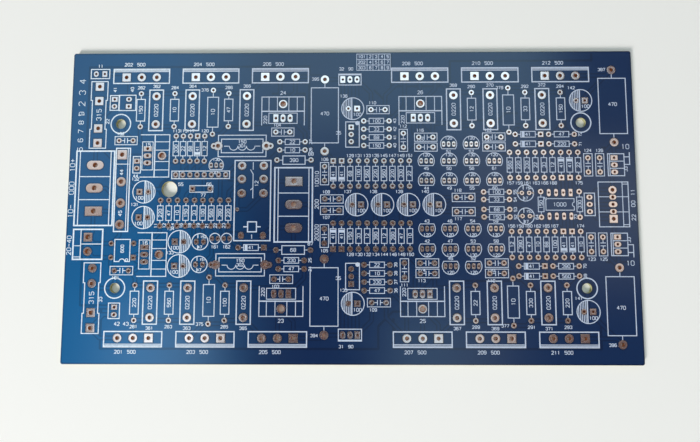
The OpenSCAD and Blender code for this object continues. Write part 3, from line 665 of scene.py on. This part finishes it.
def mask_coat(lands, holes, tracks, moats, mask, copper):
    """The mask of one side: a sheet that is higher over copper, with walls at steps, openings and edges.

    The plane is cut along the board's outline, the openings, the bare lines and the
    tracks. A triangle is mask when it is in the board and in no opening, and lies over
    copper when it is in a copper area and no bare line, or in a track. A wall stands
    on each edge whose twin belongs to another level. Heights are 2, 1 and 0 for the
    mask over copper, the mask between and the laminate.
    """
    middle, half = lands[:, :2], lands[:, 2:4]
    corner_r = np.where(lands[:, 5] > 0, OPENING_CORNER, half.min(axis=1))
    zero, one = np.zeros((1, 2)), np.ones(1)
    copper_half = BOARD_HALF[None] - COPPER_INSET
    loops = [
        (BOARD, rounded_outline(zero, BOARD_HALF[None], BOARD_CORNER * one, BOARD_SIDES)[0]),
        (COPPER_AREA, rounded_outline(zero, copper_half, COPPER_CORNER * one, COPPER_SIDES)[0]),
    ]
    rims = ((OPENING, OPENING_SIDES, mask.opening_gap), (MOAT, MOAT_SIDES, copper.isolation))
    for kind, count, grow in rims:
        loops += [(kind, loop) for loop in rounded_outline(middle, half, corner_r, count, grow)]
    for x, y, radius in holes:
        ring = rounded_outline(np.array([[x, y]]), np.full((1, 2), radius), radius * one, HOLE_SIDES)[0]
        loops += [(OPENING, ring), (MOAT, ring + (ring - [x, y]) * HOLE_MOAT)]
    for line in moats:
        line = np.array(line) * MM
        loops += [(MOAT, loop) for loop in bar_outlines(line[:-1], line[1:], copper.moat_width / 2)]
    starts, ends = tracks
    half_track = copper.track_width / 2
    loops += [(MOAT, loop) for loop in bar_outlines(starts, ends, half_track + copper.isolation)]
    loops += [(TRACK, loop) for loop in bar_outlines(starts, ends, half_track)]
    corners, triangles, member = cut_plane(loops)
    coated = member[:, BOARD] & ~member[:, OPENING]
    copper_below = coated & ((member[:, COPPER_AREA] & ~member[:, MOAT]) | member[:, TRACK])
    high, low = triangles[copper_below], triangles[coated & ~copper_below]
    size = len(corners)
    sheets = [high + 2 * size, low + size]
    kinds = [np.zeros(len(high), int), np.ones(len(low), int)]
    high_edges, high_key, high_twin = edge_keys(high, size)
    low_edges, low_key, low_twin = edge_keys(low, size)
    step = np.isin(high_twin, low_key)
    high_end = ~step & ~np.isin(high_twin, high_key)
    low_end = ~np.isin(low_twin, low_key) & ~np.isin(low_twin, high_key)
    walls = ((high_edges[step], 2, 1), (high_edges[high_end], 2, 0), (low_edges[low_end], 1, 0))
    for edges, top, foot in walls:
        a, b = edges[:, 0], edges[:, 1]
        sheets.append(np.stack([b + top * size, a + top * size, a + foot * size], axis=1))
        sheets.append(np.stack([b + top * size, a + foot * size, b + foot * size], axis=1))
        kinds += [np.full(len(a), 1)] * 2
    return corners, np.concatenate(sheets), np.concatenate(kinds)


def raise_coat(corners, faces, levels, flip):
    """Gives the flat sheet its heights, drops unused corners, and turns the underside's faces over."""
    size = len(corners)
    used, index = np.unique(faces, return_inverse=True)
    place = np.concatenate([corners[used % size], np.array(levels)[used // size][:, None]], axis=1)
    faces = index.reshape(faces.shape)
    return place, faces[:, ::-1] if flip else faces


# ---- Lettering: plain numbers only ----

# Each figure is a set of lines on a grid four wide and six high.
FIGURES = {
    "0": [[(1, 0), (3, 0), (4, 1), (4, 5), (3, 6), (1, 6), (0, 5), (0, 1), (1, 0)]],
    "1": [[(1, 5), (2, 6)], [(2, 6), (2, 0)]],
    "2": [[(0, 5), (1, 6), (3, 6), (4, 5), (4, 4), (0, 0), (4, 0)]],
    "3": [[(0, 5), (1, 6), (3, 6), (4, 5), (4, 4), (3, 3), (4, 2), (4, 1), (3, 0), (1, 0), (0, 1)]],
    "4": [[(3, 0), (3, 6)], [(3, 6), (0, 2)], [(0, 2), (4.2, 2)]],
    "5": [[(4, 6), (0, 6), (0, 3.5), (3, 3.5), (4, 2.5), (4, 1), (3, 0), (1, 0), (0, 1)]],
    "6": [[(4, 5), (3, 6), (1, 6), (0, 5), (0, 1), (1, 0), (3, 0), (4, 1), (4, 2.5), (3, 3.5), (0, 3.5)]],
    "7": [[(0, 6), (4, 6), (1.5, 0)]],
    "8": [
        [(1, 3), (0, 4), (0, 5), (1, 6), (3, 6), (4, 5), (4, 4), (3, 3), (1, 3)],
        [(1, 3), (0, 2), (0, 1), (1, 0), (3, 0), (4, 1), (4, 2), (3, 3)],
    ],
    "9": [[(0, 1), (1, 0), (3, 0), (4, 1), (4, 5), (3, 6), (1, 6), (0, 5), (0, 3.5), (1, 2.5), (4, 2.5)]],
    "+": [[(2, 1), (2, 5)], [(0, 3), (4, 3)]],
    "-": [[(0, 3), (4, 3)]],
    " ": [],
}


def figure_strokes(text, x, y, height, turn=0.0):
    """Strokes of a row of figures centred on a point, in metres.

    Each stroke is the point before it, its start, its end and the point after it. An open
    line goes on beyond each end by its own last stroke; a closed one by its other end.
    """
    scale = height / 6
    pitch = 5.6 * scale
    left = -(len(text) - 1) * pitch / 2
    rows = [np.empty((0, 4, 2))]
    for i, figure in enumerate(text):
        for line in FIGURES[figure]:
            points = (np.array(line, float) - [2, 3]) * scale + [left + i * pitch, 0]
            closed = line[0] == line[-1]
            before = points[-2] if closed else 2 * points[0] - points[1]
            after = points[1] if closed else 2 * points[-1] - points[-2]
            around = np.concatenate([[before], points, [after]])
            rows.append(np.stack([around[:-3], around[1:-2], around[2:-1], around[3:]], axis=1))
    cos, sin = math.cos(turn), math.sin(turn)
    return np.concatenate(rows) @ np.array([[cos, sin], [-sin, cos]]) + [x, y]


# Strokes that touch or cross differ in height by a hair, so one lies on the other.
STROKE_STEP, STROKE_LEVELS = 0.0005 * MM, 7
# How deep a number's foot lies in the mask.
STROKE_ROOT = 0.012 * MM


def stroke_blocks(strokes, width, low, high):
    """Low blocks along strokes, mitred where one stroke meets the next.

    A corner lies beside the stroke's end by half the width over the cosine of half the
    bend, along the mean of the two strokes' normals. The foot is open, in the mask.
    """
    run = np.diff(strokes, axis=1)
    aside = np.stack([-run[..., 1], run[..., 0]], axis=-1) / np.linalg.norm(run, axis=-1, keepdims=True)
    mean = aside[:, :-1] + aside[:, 1:]
    corner = mean * width / (mean**2).sum(axis=-1, keepdims=True)
    start, end = strokes[:, 1], strokes[:, 2]
    right = [start - corner[:, 0], end - corner[:, 1]]
    left = [end + corner[:, 1], start + corner[:, 0]]
    flat = np.stack(right + left, axis=1)
    top = high - STROKE_STEP * (np.arange(len(flat)) % STROKE_LEVELS)
    corners = np.empty((len(flat), 2, 4, 3))
    corners[..., :2] = flat[:, None]
    corners[:, 0, :, 2] = low
    corners[:, 1, :, 2] = top[:, None]
    block = np.array([[4, 5, 6, 7], [0, 1, 5, 4], [1, 2, 6, 5], [2, 3, 7, 6], [3, 0, 4, 7]])
    faces = np.arange(len(flat))[:, None, None] * 8 + block
    return corners.reshape(-1, 3), faces.reshape(-1, 4)


def print_frames(node, least):
    """Middles and half sizes of a print node's outlines, from left to right, without the least ones."""
    patches = level_patches(node, INK_HIGH)
    patches = patches[patches[:, 2:4].max(axis=1) > least]
    return patches[np.lexsort((patches[:, 1], patches[:, 0]))]


LEVEL, UPRIGHT = 0.0, math.pi / 2
RESISTOR_VALUES = ("220", "47", "330", "10", "22", "150", "68", "33", "100", "12", "560", "390")

# Numbers that stand at a place of their own: text, X and Y in millimetres, size, and
# the turn of those that aren't level.
LARGE_NUMBERS = (
    ("12", -33.2, 7.5, 1.0, UPRIGHT),
    ("1", -34.6, -11.2, 1.2),
    ("1000", 73, 0, 1.1),
    ("71", 68, 2, 0.8),
    ("10+", -98.8, 14.2, 1.5, UPRIGHT),
    ("000", -98.8, 6, 1.5, UPRIGHT),
    ("10-", -98.8, -2.2, 1.5, UPRIGHT),
    ("20-40", -98.8, -14.2, 1.3, UPRIGHT),
    ("1 2 3 4", -96.4, 38.5, 1.9, UPRIGHT),
    ("5 6 7 8 9", -96.4, 26.4, 1.5, UPRIGHT),
    ("315", -90.1, 32.4, 1.4, UPRIGHT),
    ("315", -90.1, -32.4, 1.4, UPRIGHT),
    ("10010", -11.9, 9, 1.1, UPRIGHT),
    ("200", -11.9, 0.2, 1.1, UPRIGHT),
    ("20020", -11.9, -9.8, 1.1, UPRIGHT),
    ("11", 98.5, 4.2, 1.1, UPRIGHT),
    ("00", 98.5, 0.2, 1.1, UPRIGHT),
    ("22", 98.5, -4.6, 1.1, UPRIGHT),
)
# The same for numbers that both channels have; these are the upper channel's.
CHANNEL_NUMBERS = (("10", 96.6, 20.4, 1.4), ("33", 96.5, 12.4, 0.9, UPRIGHT), ("35", -4.3, 25.6, 0.9))
SMALL_NUMBERS = (
    ("11", -90.2, 50.3, 0.9),
    ("22", -86.9, 30, 0.9, UPRIGHT),
    ("33", -86.9, -33, 0.9, UPRIGHT),
    ("44", -76.2, 10.3, 0.9),
    ("55", -60, 7.3, 0.9),
    ("66", -50, 7.3, 0.9),
    ("77", -52, 3.4, 0.9),
    ("40", -78.4, 41.6, 0.9, UPRIGHT),
    ("41", -84.6, 41.6, 0.9, UPRIGHT),
    ("42", -80.9, -41.3, 1.0),
    ("43", -77.8, -41.3, 1.0),
    ("44", -81.2, 11.6, 1.0, UPRIGHT),
    ("45", -81.2, -3, 1.0, UPRIGHT),
    ("600", -79.95, -15.4, 0.9, UPRIGHT),
)
# Columns and rows of the small table on the upper edge, and the first column's numbers.
TABLE_X, TABLE_Y = (4.0, 7.05, 9.15, 11.25, 13.3), (53.4, 51.35, 49.3)
TABLE_FIRST = ("101", "202", "303")


def all_numbers(height):
    """Strokes of every number on the board.

    A part has a value on its body and its own number beside it, counted from left to
    right. Most numbers of the lower channel mirror the upper channel's places.
    """
    strokes = []

    def write(text, x, y, size=1.0, turn=LEVEL):
        strokes.append(figure_strokes(str(text), x, y, height * size, turn))

    for i, (x, y, half_w, half_d, *_) in enumerate(print_frames("small_resistor_print", 2.5 * MM)):
        tall = half_d > half_w
        write(RESISTOR_VALUES[i % len(RESISTOR_VALUES)], x, y, 0.95, UPRIGHT if tall else LEVEL)
        if tall and abs(y) > 9 * MM:
            way = 1 if x < -30 * MM else math.copysign(1, y if x < 30 * MM else -y)
            write(111 + i, x, y + way * 6.4 * MM, 0.85)
        elif tall:
            write(11 + i, x - 1.5 * MM, y - 4.4 * MM, 0.85, UPRIGHT)
        else:
            write(11 + i, x + 6.5 * MM, y, 0.8, UPRIGHT)
    for i, (x, y, half_w, half_d, *_) in enumerate(print_frames("half_watt_resistor_print", 3 * MM)):
        tall = half_d > half_w
        write(RESISTOR_VALUES[(i * 5) % len(RESISTOR_VALUES)], x, y, 1.0, UPRIGHT if tall else LEVEL)
        if tall:
            write(281 + i, x, y + math.copysign(8.2 * MM, y), 0.85)
        else:
            write(81 + i, x + 6 * MM, y + 2.2 * MM, 0.95)
    for i, (x, y, *_) in enumerate(print_frames("emitter_resistor_print", 3 * MM)):
        write("0220", x, y, 1.1, UPRIGHT)
        write(361 + i, x, y + math.copysign(8.75 * MM, y), 0.85)
    for i, (x, y, *_) in enumerate(print_frames("two_watt_resistor_print", 3 * MM)):
        write(10, x, y, 1.15, UPRIGHT)
        write(375 + i, x - 3 * MM, y + math.copysign(8.1 * MM, y), 0.85)
    for i, (x, y, *_) in enumerate(print_frames("ceramic_resistor_print", 5 * MM)):
        write(470, x, y + math.copysign(0.6 * MM, y), 1.0)
        write(394 + i, x - 3.4 * MM, y + math.copysign(13.2 * MM, y), 0.85)
    for i, (x, y, *_) in enumerate(print_frames("output_transistor_print", 5 * MM)):
        out = math.copysign(4.3 * MM, y)
        write(201 + i, x - 4.8 * MM, y + out, 0.95)
        write(500, x - 0.3 * MM, y + out, 0.95)
    for i, (x, y, *_) in enumerate(print_frames("driver_print", 6 * MM)):
        channel = math.copysign(1, y)
        if x > -50 * MM:
            write(21 + i, x, y + channel * 6.6 * MM, 1.0)
            write(220, x - 6.3 * MM, y - channel * 3.2 * MM, 0.95, UPRIGHT)
        else:
            write(15 if y > 0 else 16, x - 2.6 * MM, y + 4.0 * MM, 1.0)
    for i, (x, y, *_) in enumerate(print_frames("bias_transistor_print", 3 * MM)):
        out = math.copysign(3.9 * MM, y)
        write(31 + i, x - 3 * MM, y + out, 0.85)
        write(90, x + 0.3 * MM, y + out, 0.85)
    for i, (x, y, *_) in enumerate(print_frames("small_transistor_print", 2 * MM)):
        channel = math.copysign(1, y)
        write(120 if i % 3 else 130, x, y + channel * 1.55 * MM, 0.8)
        write(41 + i, x, y - channel * 3.25 * MM, 0.85)
    for i, (x, y, half_w, half_d, *_) in enumerate(print_frames("film_capacitor_print", 3 * MM)):
        across, out = (-2, 2.5) if half_w > half_d else (0, 5.1)
        write(101 + i, x + across * MM, y + math.copysign(out * MM, y), 0.85)
    for i, (x, y, *_) in enumerate(print_frames("large_can_print", 3.5 * MM)):
        way = 1 if x > -50 * MM else -1
        write(100, x + way * 1.6 * MM, y - 2.1 * MM, 0.95)
        write(131 + i, x - 3.2 * MM, y + 4.6 * MM, 0.85)
    for i, (x, y, *_) in enumerate(print_frames("medium_can_print", 2.5 * MM)):
        write(47, x, y - 1.9 * MM, 0.8)
        write(151 + i, x + 1.2 * MM, y + 1.7 * MM, 0.7)
    for i, (x, y, *_) in enumerate(print_frames("small_can_print", 1.5 * MM)):
        write(161 + i, x, y - 2.9 * MM, 0.85)
    for x, y, half_w, half_d, *_ in print_frames("diode_print", 2.3 * MM):
        write(41, x, y, 0.95, UPRIGHT if half_d > half_w else LEVEL)
    low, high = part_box("inductor_print")
    for number, y in ((301, 21), (302, -21)):
        write(150, (low.x + high.x) / 2, (y + 1.5) * MM, 0.95)
        write(number, (low.x + high.x) / 2, y * MM, 0.85)
    for text, x, y, *style in LARGE_NUMBERS:
        write(text, x * MM, y * MM, *style)
    for channel in (1, -1):
        for text, x, y, *style in CHANNEL_NUMBERS:
            write(text, x * MM, channel * y * MM, *style)
    for column, x in enumerate(TABLE_X):
        for row, y in enumerate(TABLE_Y):
            write((column + 2 * row) % 9 + 1 if column else TABLE_FIRST[row], x * MM, y * MM, 0.85)
    for text, x, y, *style in SMALL_NUMBERS:
        write(text, x * MM, y * MM, *style)
    return np.concatenate(strokes)


# ---- Operators ----


class BOARD_OT_laminate(bpy.types.Operator):
    """Gives the drilled laminate its cut-glass edge"""

    bl_idname = "board.laminate"
    bl_label = "Laminate"

    def execute(self, context):
        dress_node("laminate", laminate_material())
        return {"FINISHED"}


class BOARD_OT_mask(bpy.types.Operator):
    """Makes the solder mask of both sides, stepped over the copper tracks and areas"""

    bl_idname = "board.mask"
    bl_label = "Solder mask"

    def execute(self, context):
        mask, copper = context.scene.board_mask, context.scene.board_copper
        lands = np.concatenate([node_lands(node, i) for i, node in enumerate(LAND_NODES)])
        rings = level_patches("mounting_ring_print", INK_HIGH)
        holes = [(x, y, MOUNTING_HOLE) for x, y in rings[:, :2]]
        guide = next(m for m in frame["record"]["mounts"] if m["name"] == "guide_hole")
        holes.append((guide["pos_m"][0], guide["pos_m"][1], guide["dims"]["r_mm"] * MM))
        wide = [[x, y, r + HOLE_CLEARANCE, r + HOLE_CLEARANCE, 0, 0, -1] for x, y, r in holes]
        blocked = np.concatenate([lands, wide])
        materials = [
            mask_material("solder mask over copper", 1.0, mask),
            mask_material("solder mask over laminate", mask.bare_shade, mask),
        ]
        upper = (LAMINATE_HIGH, MASK_HIGH - mask.copper_step, MASK_HIGH)
        lower = (MASK_HIGH - LAMINATE_HIGH, mask.copper_step, 0.0)
        for node, moats, shortest, under, levels in (
            ("solder_mask_top", TOP_MOATS, 3 * MM, False, upper),
            ("solder_mask_bottom", BOTTOM_MOATS, 6 * MM, True, lower),
        ):
            tracks = route_tracks(blocked, copper, shortest, under)
            corners, faces, kinds = mask_coat(lands, holes, tracks, moats, mask, copper)
            corners, faces = raise_coat(corners, faces, levels, under)
            piece = make_piece(node + "_over_copper", corners, faces, materials, kinds)
            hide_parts(node)
        return {"FINISHED"}


class BOARD_OT_lands(bpy.types.Operator):
    """Makes the domed tinned lands with the barrels of their holes"""

    bl_idname = "board.lands"
    bl_label = "Lands"

    def execute(self, context):
        settings = context.scene.board_lands
        tin = tin_material(settings)
        for node in LAND_NODES:
            if node == "inductor_lands":
                dress_node(node, tin)
                continue
            lands = node_lands(node)
            large = lands[:, 3].max() > LARGE_LAND
            count = settings.large_sides if large else settings.small_sides
            corners, faces = land_surfaces(lands, settings, count)
            piece = make_piece(node + "_tinned", corners, faces, [tin])
            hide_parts(node)
        return {"FINISHED"}


class BOARD_OT_print(bpy.types.Operator):
    """Gives the printed outlines their ink and adds the printed numbers"""

    bl_idname = "board.print"
    bl_label = "Print"

    def execute(self, context):
        settings = context.scene.board_print
        ink = ink_material(settings)
        for node in PRINT_NODES:
            dress_node(node, ink)
        strokes = all_numbers(settings.label_height)
        corners, faces = stroke_blocks(strokes, settings.stroke, MASK_HIGH - STROKE_ROOT, INK_HIGH)
        make_piece("printed_numbers", corners, faces, [ink])
        return {"FINISHED"}


# ---- Floor, lamp, surroundings and camera ----

FLOOR_HALF, FLOOR_GAP = 3.0, 0.02 * MM
LAMP_SIZE, LAMP_COLOUR = (0.3, 0.6), (1.0, 0.98, 0.95)
SENSOR_WIDTH, NEAREST_SEEN = 36, 10 * MM

# Light from each part of the surroundings: linear red, green, blue and alpha.
DARK_ROOM = (0.093, 0.063, 0.063, 1.0)
CEILING = (1.0, 1.5, 1.72, 1.0)
PALE_WALL = (0.92, 0.96, 0.88, 1.0)
WINDOW = (1.22, 1.56, 1.67, 1.0)
FAR_WALLS = (0.42, 0.4, 0.38, 1.0)

# Spans over which a part of the surroundings sets in, by a direction's x over z
# (across), y over z (beyond) or z (rise).
SPANS = {
    "input end": ("across", 0.12, 0.33),
    "supply end": ("across", -0.34, -0.5),
    "dim end": ("across", -0.3, -0.45),
    "lamp shade's side": ("across", 0.37, 0.44),
    "lamp shade's front": ("beyond", 0.17, 0.25),
    "window's outer side": ("across", -0.54, -0.46),
    "window's inner side": ("across", -0.25, -0.3),
    "window's top": ("beyond", -0.06, -0.11),
    "doorway's inner side": ("across", 0.03, 0.08),
    "doorway's outer side": ("across", 0.34, 0.26),
    "doorway's top": ("beyond", -0.08, -0.12),
    "pale wall at the input end": ("across", 0.16, 0.26),
    "pale wall at the supply end": ("across", -0.24, -0.34),
    "pale wall's top": ("beyond", 0.27, 0.19),
    "far walls": ("rise", 0.86, 0.7),
}
# The two steps in which the ceiling sets in beyond its edge, and how much light the
# first one brings; the second brings the rest.
CEILING_STEPS, FIRST_STEP = ((0.13, 0.18), (0.21, 0.31)), 0.47
# How much nearer the ceiling's edge comes at each end of the board.
INPUT_NEARER, SUPPLY_NEARER = 0.24, 0.14
# How much of the ceiling the lamp shade and the dim end take away, and how bright the
# doorway is beside the ceiling.
SHADE_LOSS, DIM_LOSS, DOORWAY_LIGHT = 0.97, 0.28, 0.7
# Directions nearer the horizon than this all count as this high.
LEAST_RISE = 0.02


def make_floor(settings):
    """A level square a little below the underside."""
    square = ((-1, -1), (1, -1), (1, 1), (-1, 1))
    mesh = bpy.data.meshes.new("floor")
    mesh.from_pydata([(x * FLOOR_HALF, y * FLOOR_HALF, -FLOOR_GAP) for x, y in square], [], [(0, 1, 2, 3)])
    material, tree, *_ = start_material("matt paper backdrop")
    end_material(tree, {"Base Color": linear(settings.floor), "Roughness": 0.9})
    mesh.materials.append(material)
    place_object("floor", mesh)


def make_surroundings(scene):
    """A dim warm room: a bright ceiling beyond the board's upper edge, a window and a doorway opposite.

    A direction's x and y over its height say where the level board mirrors it.
    """
    world = bpy.data.worlds.new("room")
    world.use_nodes = True
    tree = world.node_tree
    tree.nodes.clear()
    direction = add(tree, "ShaderNodeTexCoord").outputs["Generated"]
    x, y, rise = add(tree, "ShaderNodeSeparateXYZ", {"Vector": direction}).outputs
    up = maths(tree, "MAXIMUM", rise, LEAST_RISE)
    values = {"across": maths(tree, "DIVIDE", x, up), "beyond": maths(tree, "DIVIDE", y, up), "rise": rise}

    def ramp(value, low, high):
        return remap(tree, value, low, high, curve="SMOOTHSTEP")

    def span(name):
        key, low, high = SPANS[name]
        return ramp(values[key], low, high)

    def both(*names):
        """All the named spans at once."""
        first, *rest = map(span, names)
        for value in rest:
            first = maths(tree, "MULTIPLY", first, value)
        return first

    def less(value, loss, cause):
        """A value less a share of it, as far as the cause sets in."""
        return maths(tree, "MULTIPLY", value, maths(tree, "MULTIPLY_ADD", cause, -loss, 1.0))

    edge = maths(tree, "MULTIPLY_ADD", span("input end"), INPUT_NEARER, values["beyond"])
    edge = maths(tree, "MULTIPLY_ADD", span("supply end"), SUPPLY_NEARER, edge)
    first, second = (ramp(edge, *step) for step in CEILING_STEPS)
    second = maths(tree, "MULTIPLY", second, 1 - FIRST_STEP)
    ceiling = maths(tree, "MULTIPLY_ADD", first, FIRST_STEP, second)
    ceiling = less(ceiling, SHADE_LOSS, both("lamp shade's side", "lamp shade's front"))
    ceiling = less(ceiling, DIM_LOSS, span("dim end"))
    doorway = both("doorway's inner side", "doorway's outer side", "doorway's top")
    bright = maths(tree, "MULTIPLY_ADD", doorway, DOORWAY_LIGHT, ceiling)
    aside = maths(tree, "MAXIMUM", span("pale wall at the input end"), span("pale wall at the supply end"))
    aside = maths(tree, "MULTIPLY", aside, span("pale wall's top"))
    window = both("window's outer side", "window's inner side", "window's top")
    light = mix_colours(tree, bright, DARK_ROOM, mix_colours(tree, aside, CEILING, PALE_WALL))
    light = mix_colours(tree, window, light, WINDOW)
    light = mix_colours(tree, span("far walls"), light, FAR_WALLS)
    background = add(tree, "ShaderNodeBackground", {"Color": light, "Strength": 1.0})
    add(tree, "ShaderNodeOutputWorld", {"Surface": background.outputs["Background"]})
    scene.world = world


def make_lamp(settings):
    """One soft lamp at the supply end, low enough not to mirror in the board."""
    lamp = bpy.data.lights.new("side softbox", "AREA")
    lamp.shape = "RECTANGLE"
    lamp.size, lamp.size_y = LAMP_SIZE
    lamp.energy = settings.lamp_power
    lamp.color = LAMP_COLOUR
    holder = place_object("side softbox", lamp)
    holder.location = settings.lamp_place
    holder.rotation_euler = Vector(settings.lamp_place).to_track_quat("Z", "Y").to_euler()


def make_camera(scene, settings):
    """A camera nearly straight above, a little towards the lower edge."""
    camera = bpy.data.cameras.new("camera")
    camera.sensor_width = SENSOR_WIDTH
    camera.lens = settings.focal_length
    camera.shift_x, camera.shift_y = settings.camera_shift
    camera.clip_start = NEAREST_SEEN
    holder = place_object("camera", camera)
    holder.location = settings.camera_place
    holder.rotation_euler = settings.camera_turn
    scene.camera = holder
    scene.view_settings.view_transform = "Standard"


class BOARD_OT_stage(bpy.types.Operator):
    """Makes the floor, the surroundings, the lamp and the camera"""

    bl_idname = "board.stage"
    bl_label = "Stage"

    def execute(self, context):
        settings = context.scene.board_stage
        make_floor(settings)
        make_surroundings(context.scene)
        make_lamp(settings)
        make_camera(context.scene, settings)
        return {"FINISHED"}


class BOARD_PT_panel(bpy.types.Panel):
    """Lists the board's pieces"""

    bl_idname = "BOARD_PT_panel"
    bl_label = "Amplifier board"
    bl_space_type = "VIEW_3D"
    bl_region_type = "UI"
    bl_category = "Board"

    def draw(self, context):
        for operator in OPERATORS:
            self.layout.operator(operator.bl_idname)
        for name, group in SETTINGS.items():
            box = self.layout.box()
            for key in group.__annotations__:
                box.prop(getattr(context.scene, name), key)


OPERATORS = (BOARD_OT_laminate, BOARD_OT_mask, BOARD_OT_lands, BOARD_OT_print, BOARD_OT_stage)


def register():
    for group in (*SETTINGS.values(), *OPERATORS, BOARD_PT_panel):
        bpy.utils.register_class(group)
    for name, group in SETTINGS.items():
        setattr(bpy.types.Scene, name, PointerProperty(type=group))


def unregister():
    for name in SETTINGS:
        delattr(bpy.types.Scene, name)
    for group in (BOARD_PT_panel, *OPERATORS[::-1], *list(SETTINGS.values())[::-1]):
        bpy.utils.unregister_class(group)


def main():
    register()
    bpy.ops.board.laminate()
    bpy.ops.board.mask()
    bpy.ops.board.lands()
    bpy.ops.board.print()
    bpy.ops.board.stage()


if __name__ == "__main__":
    main()
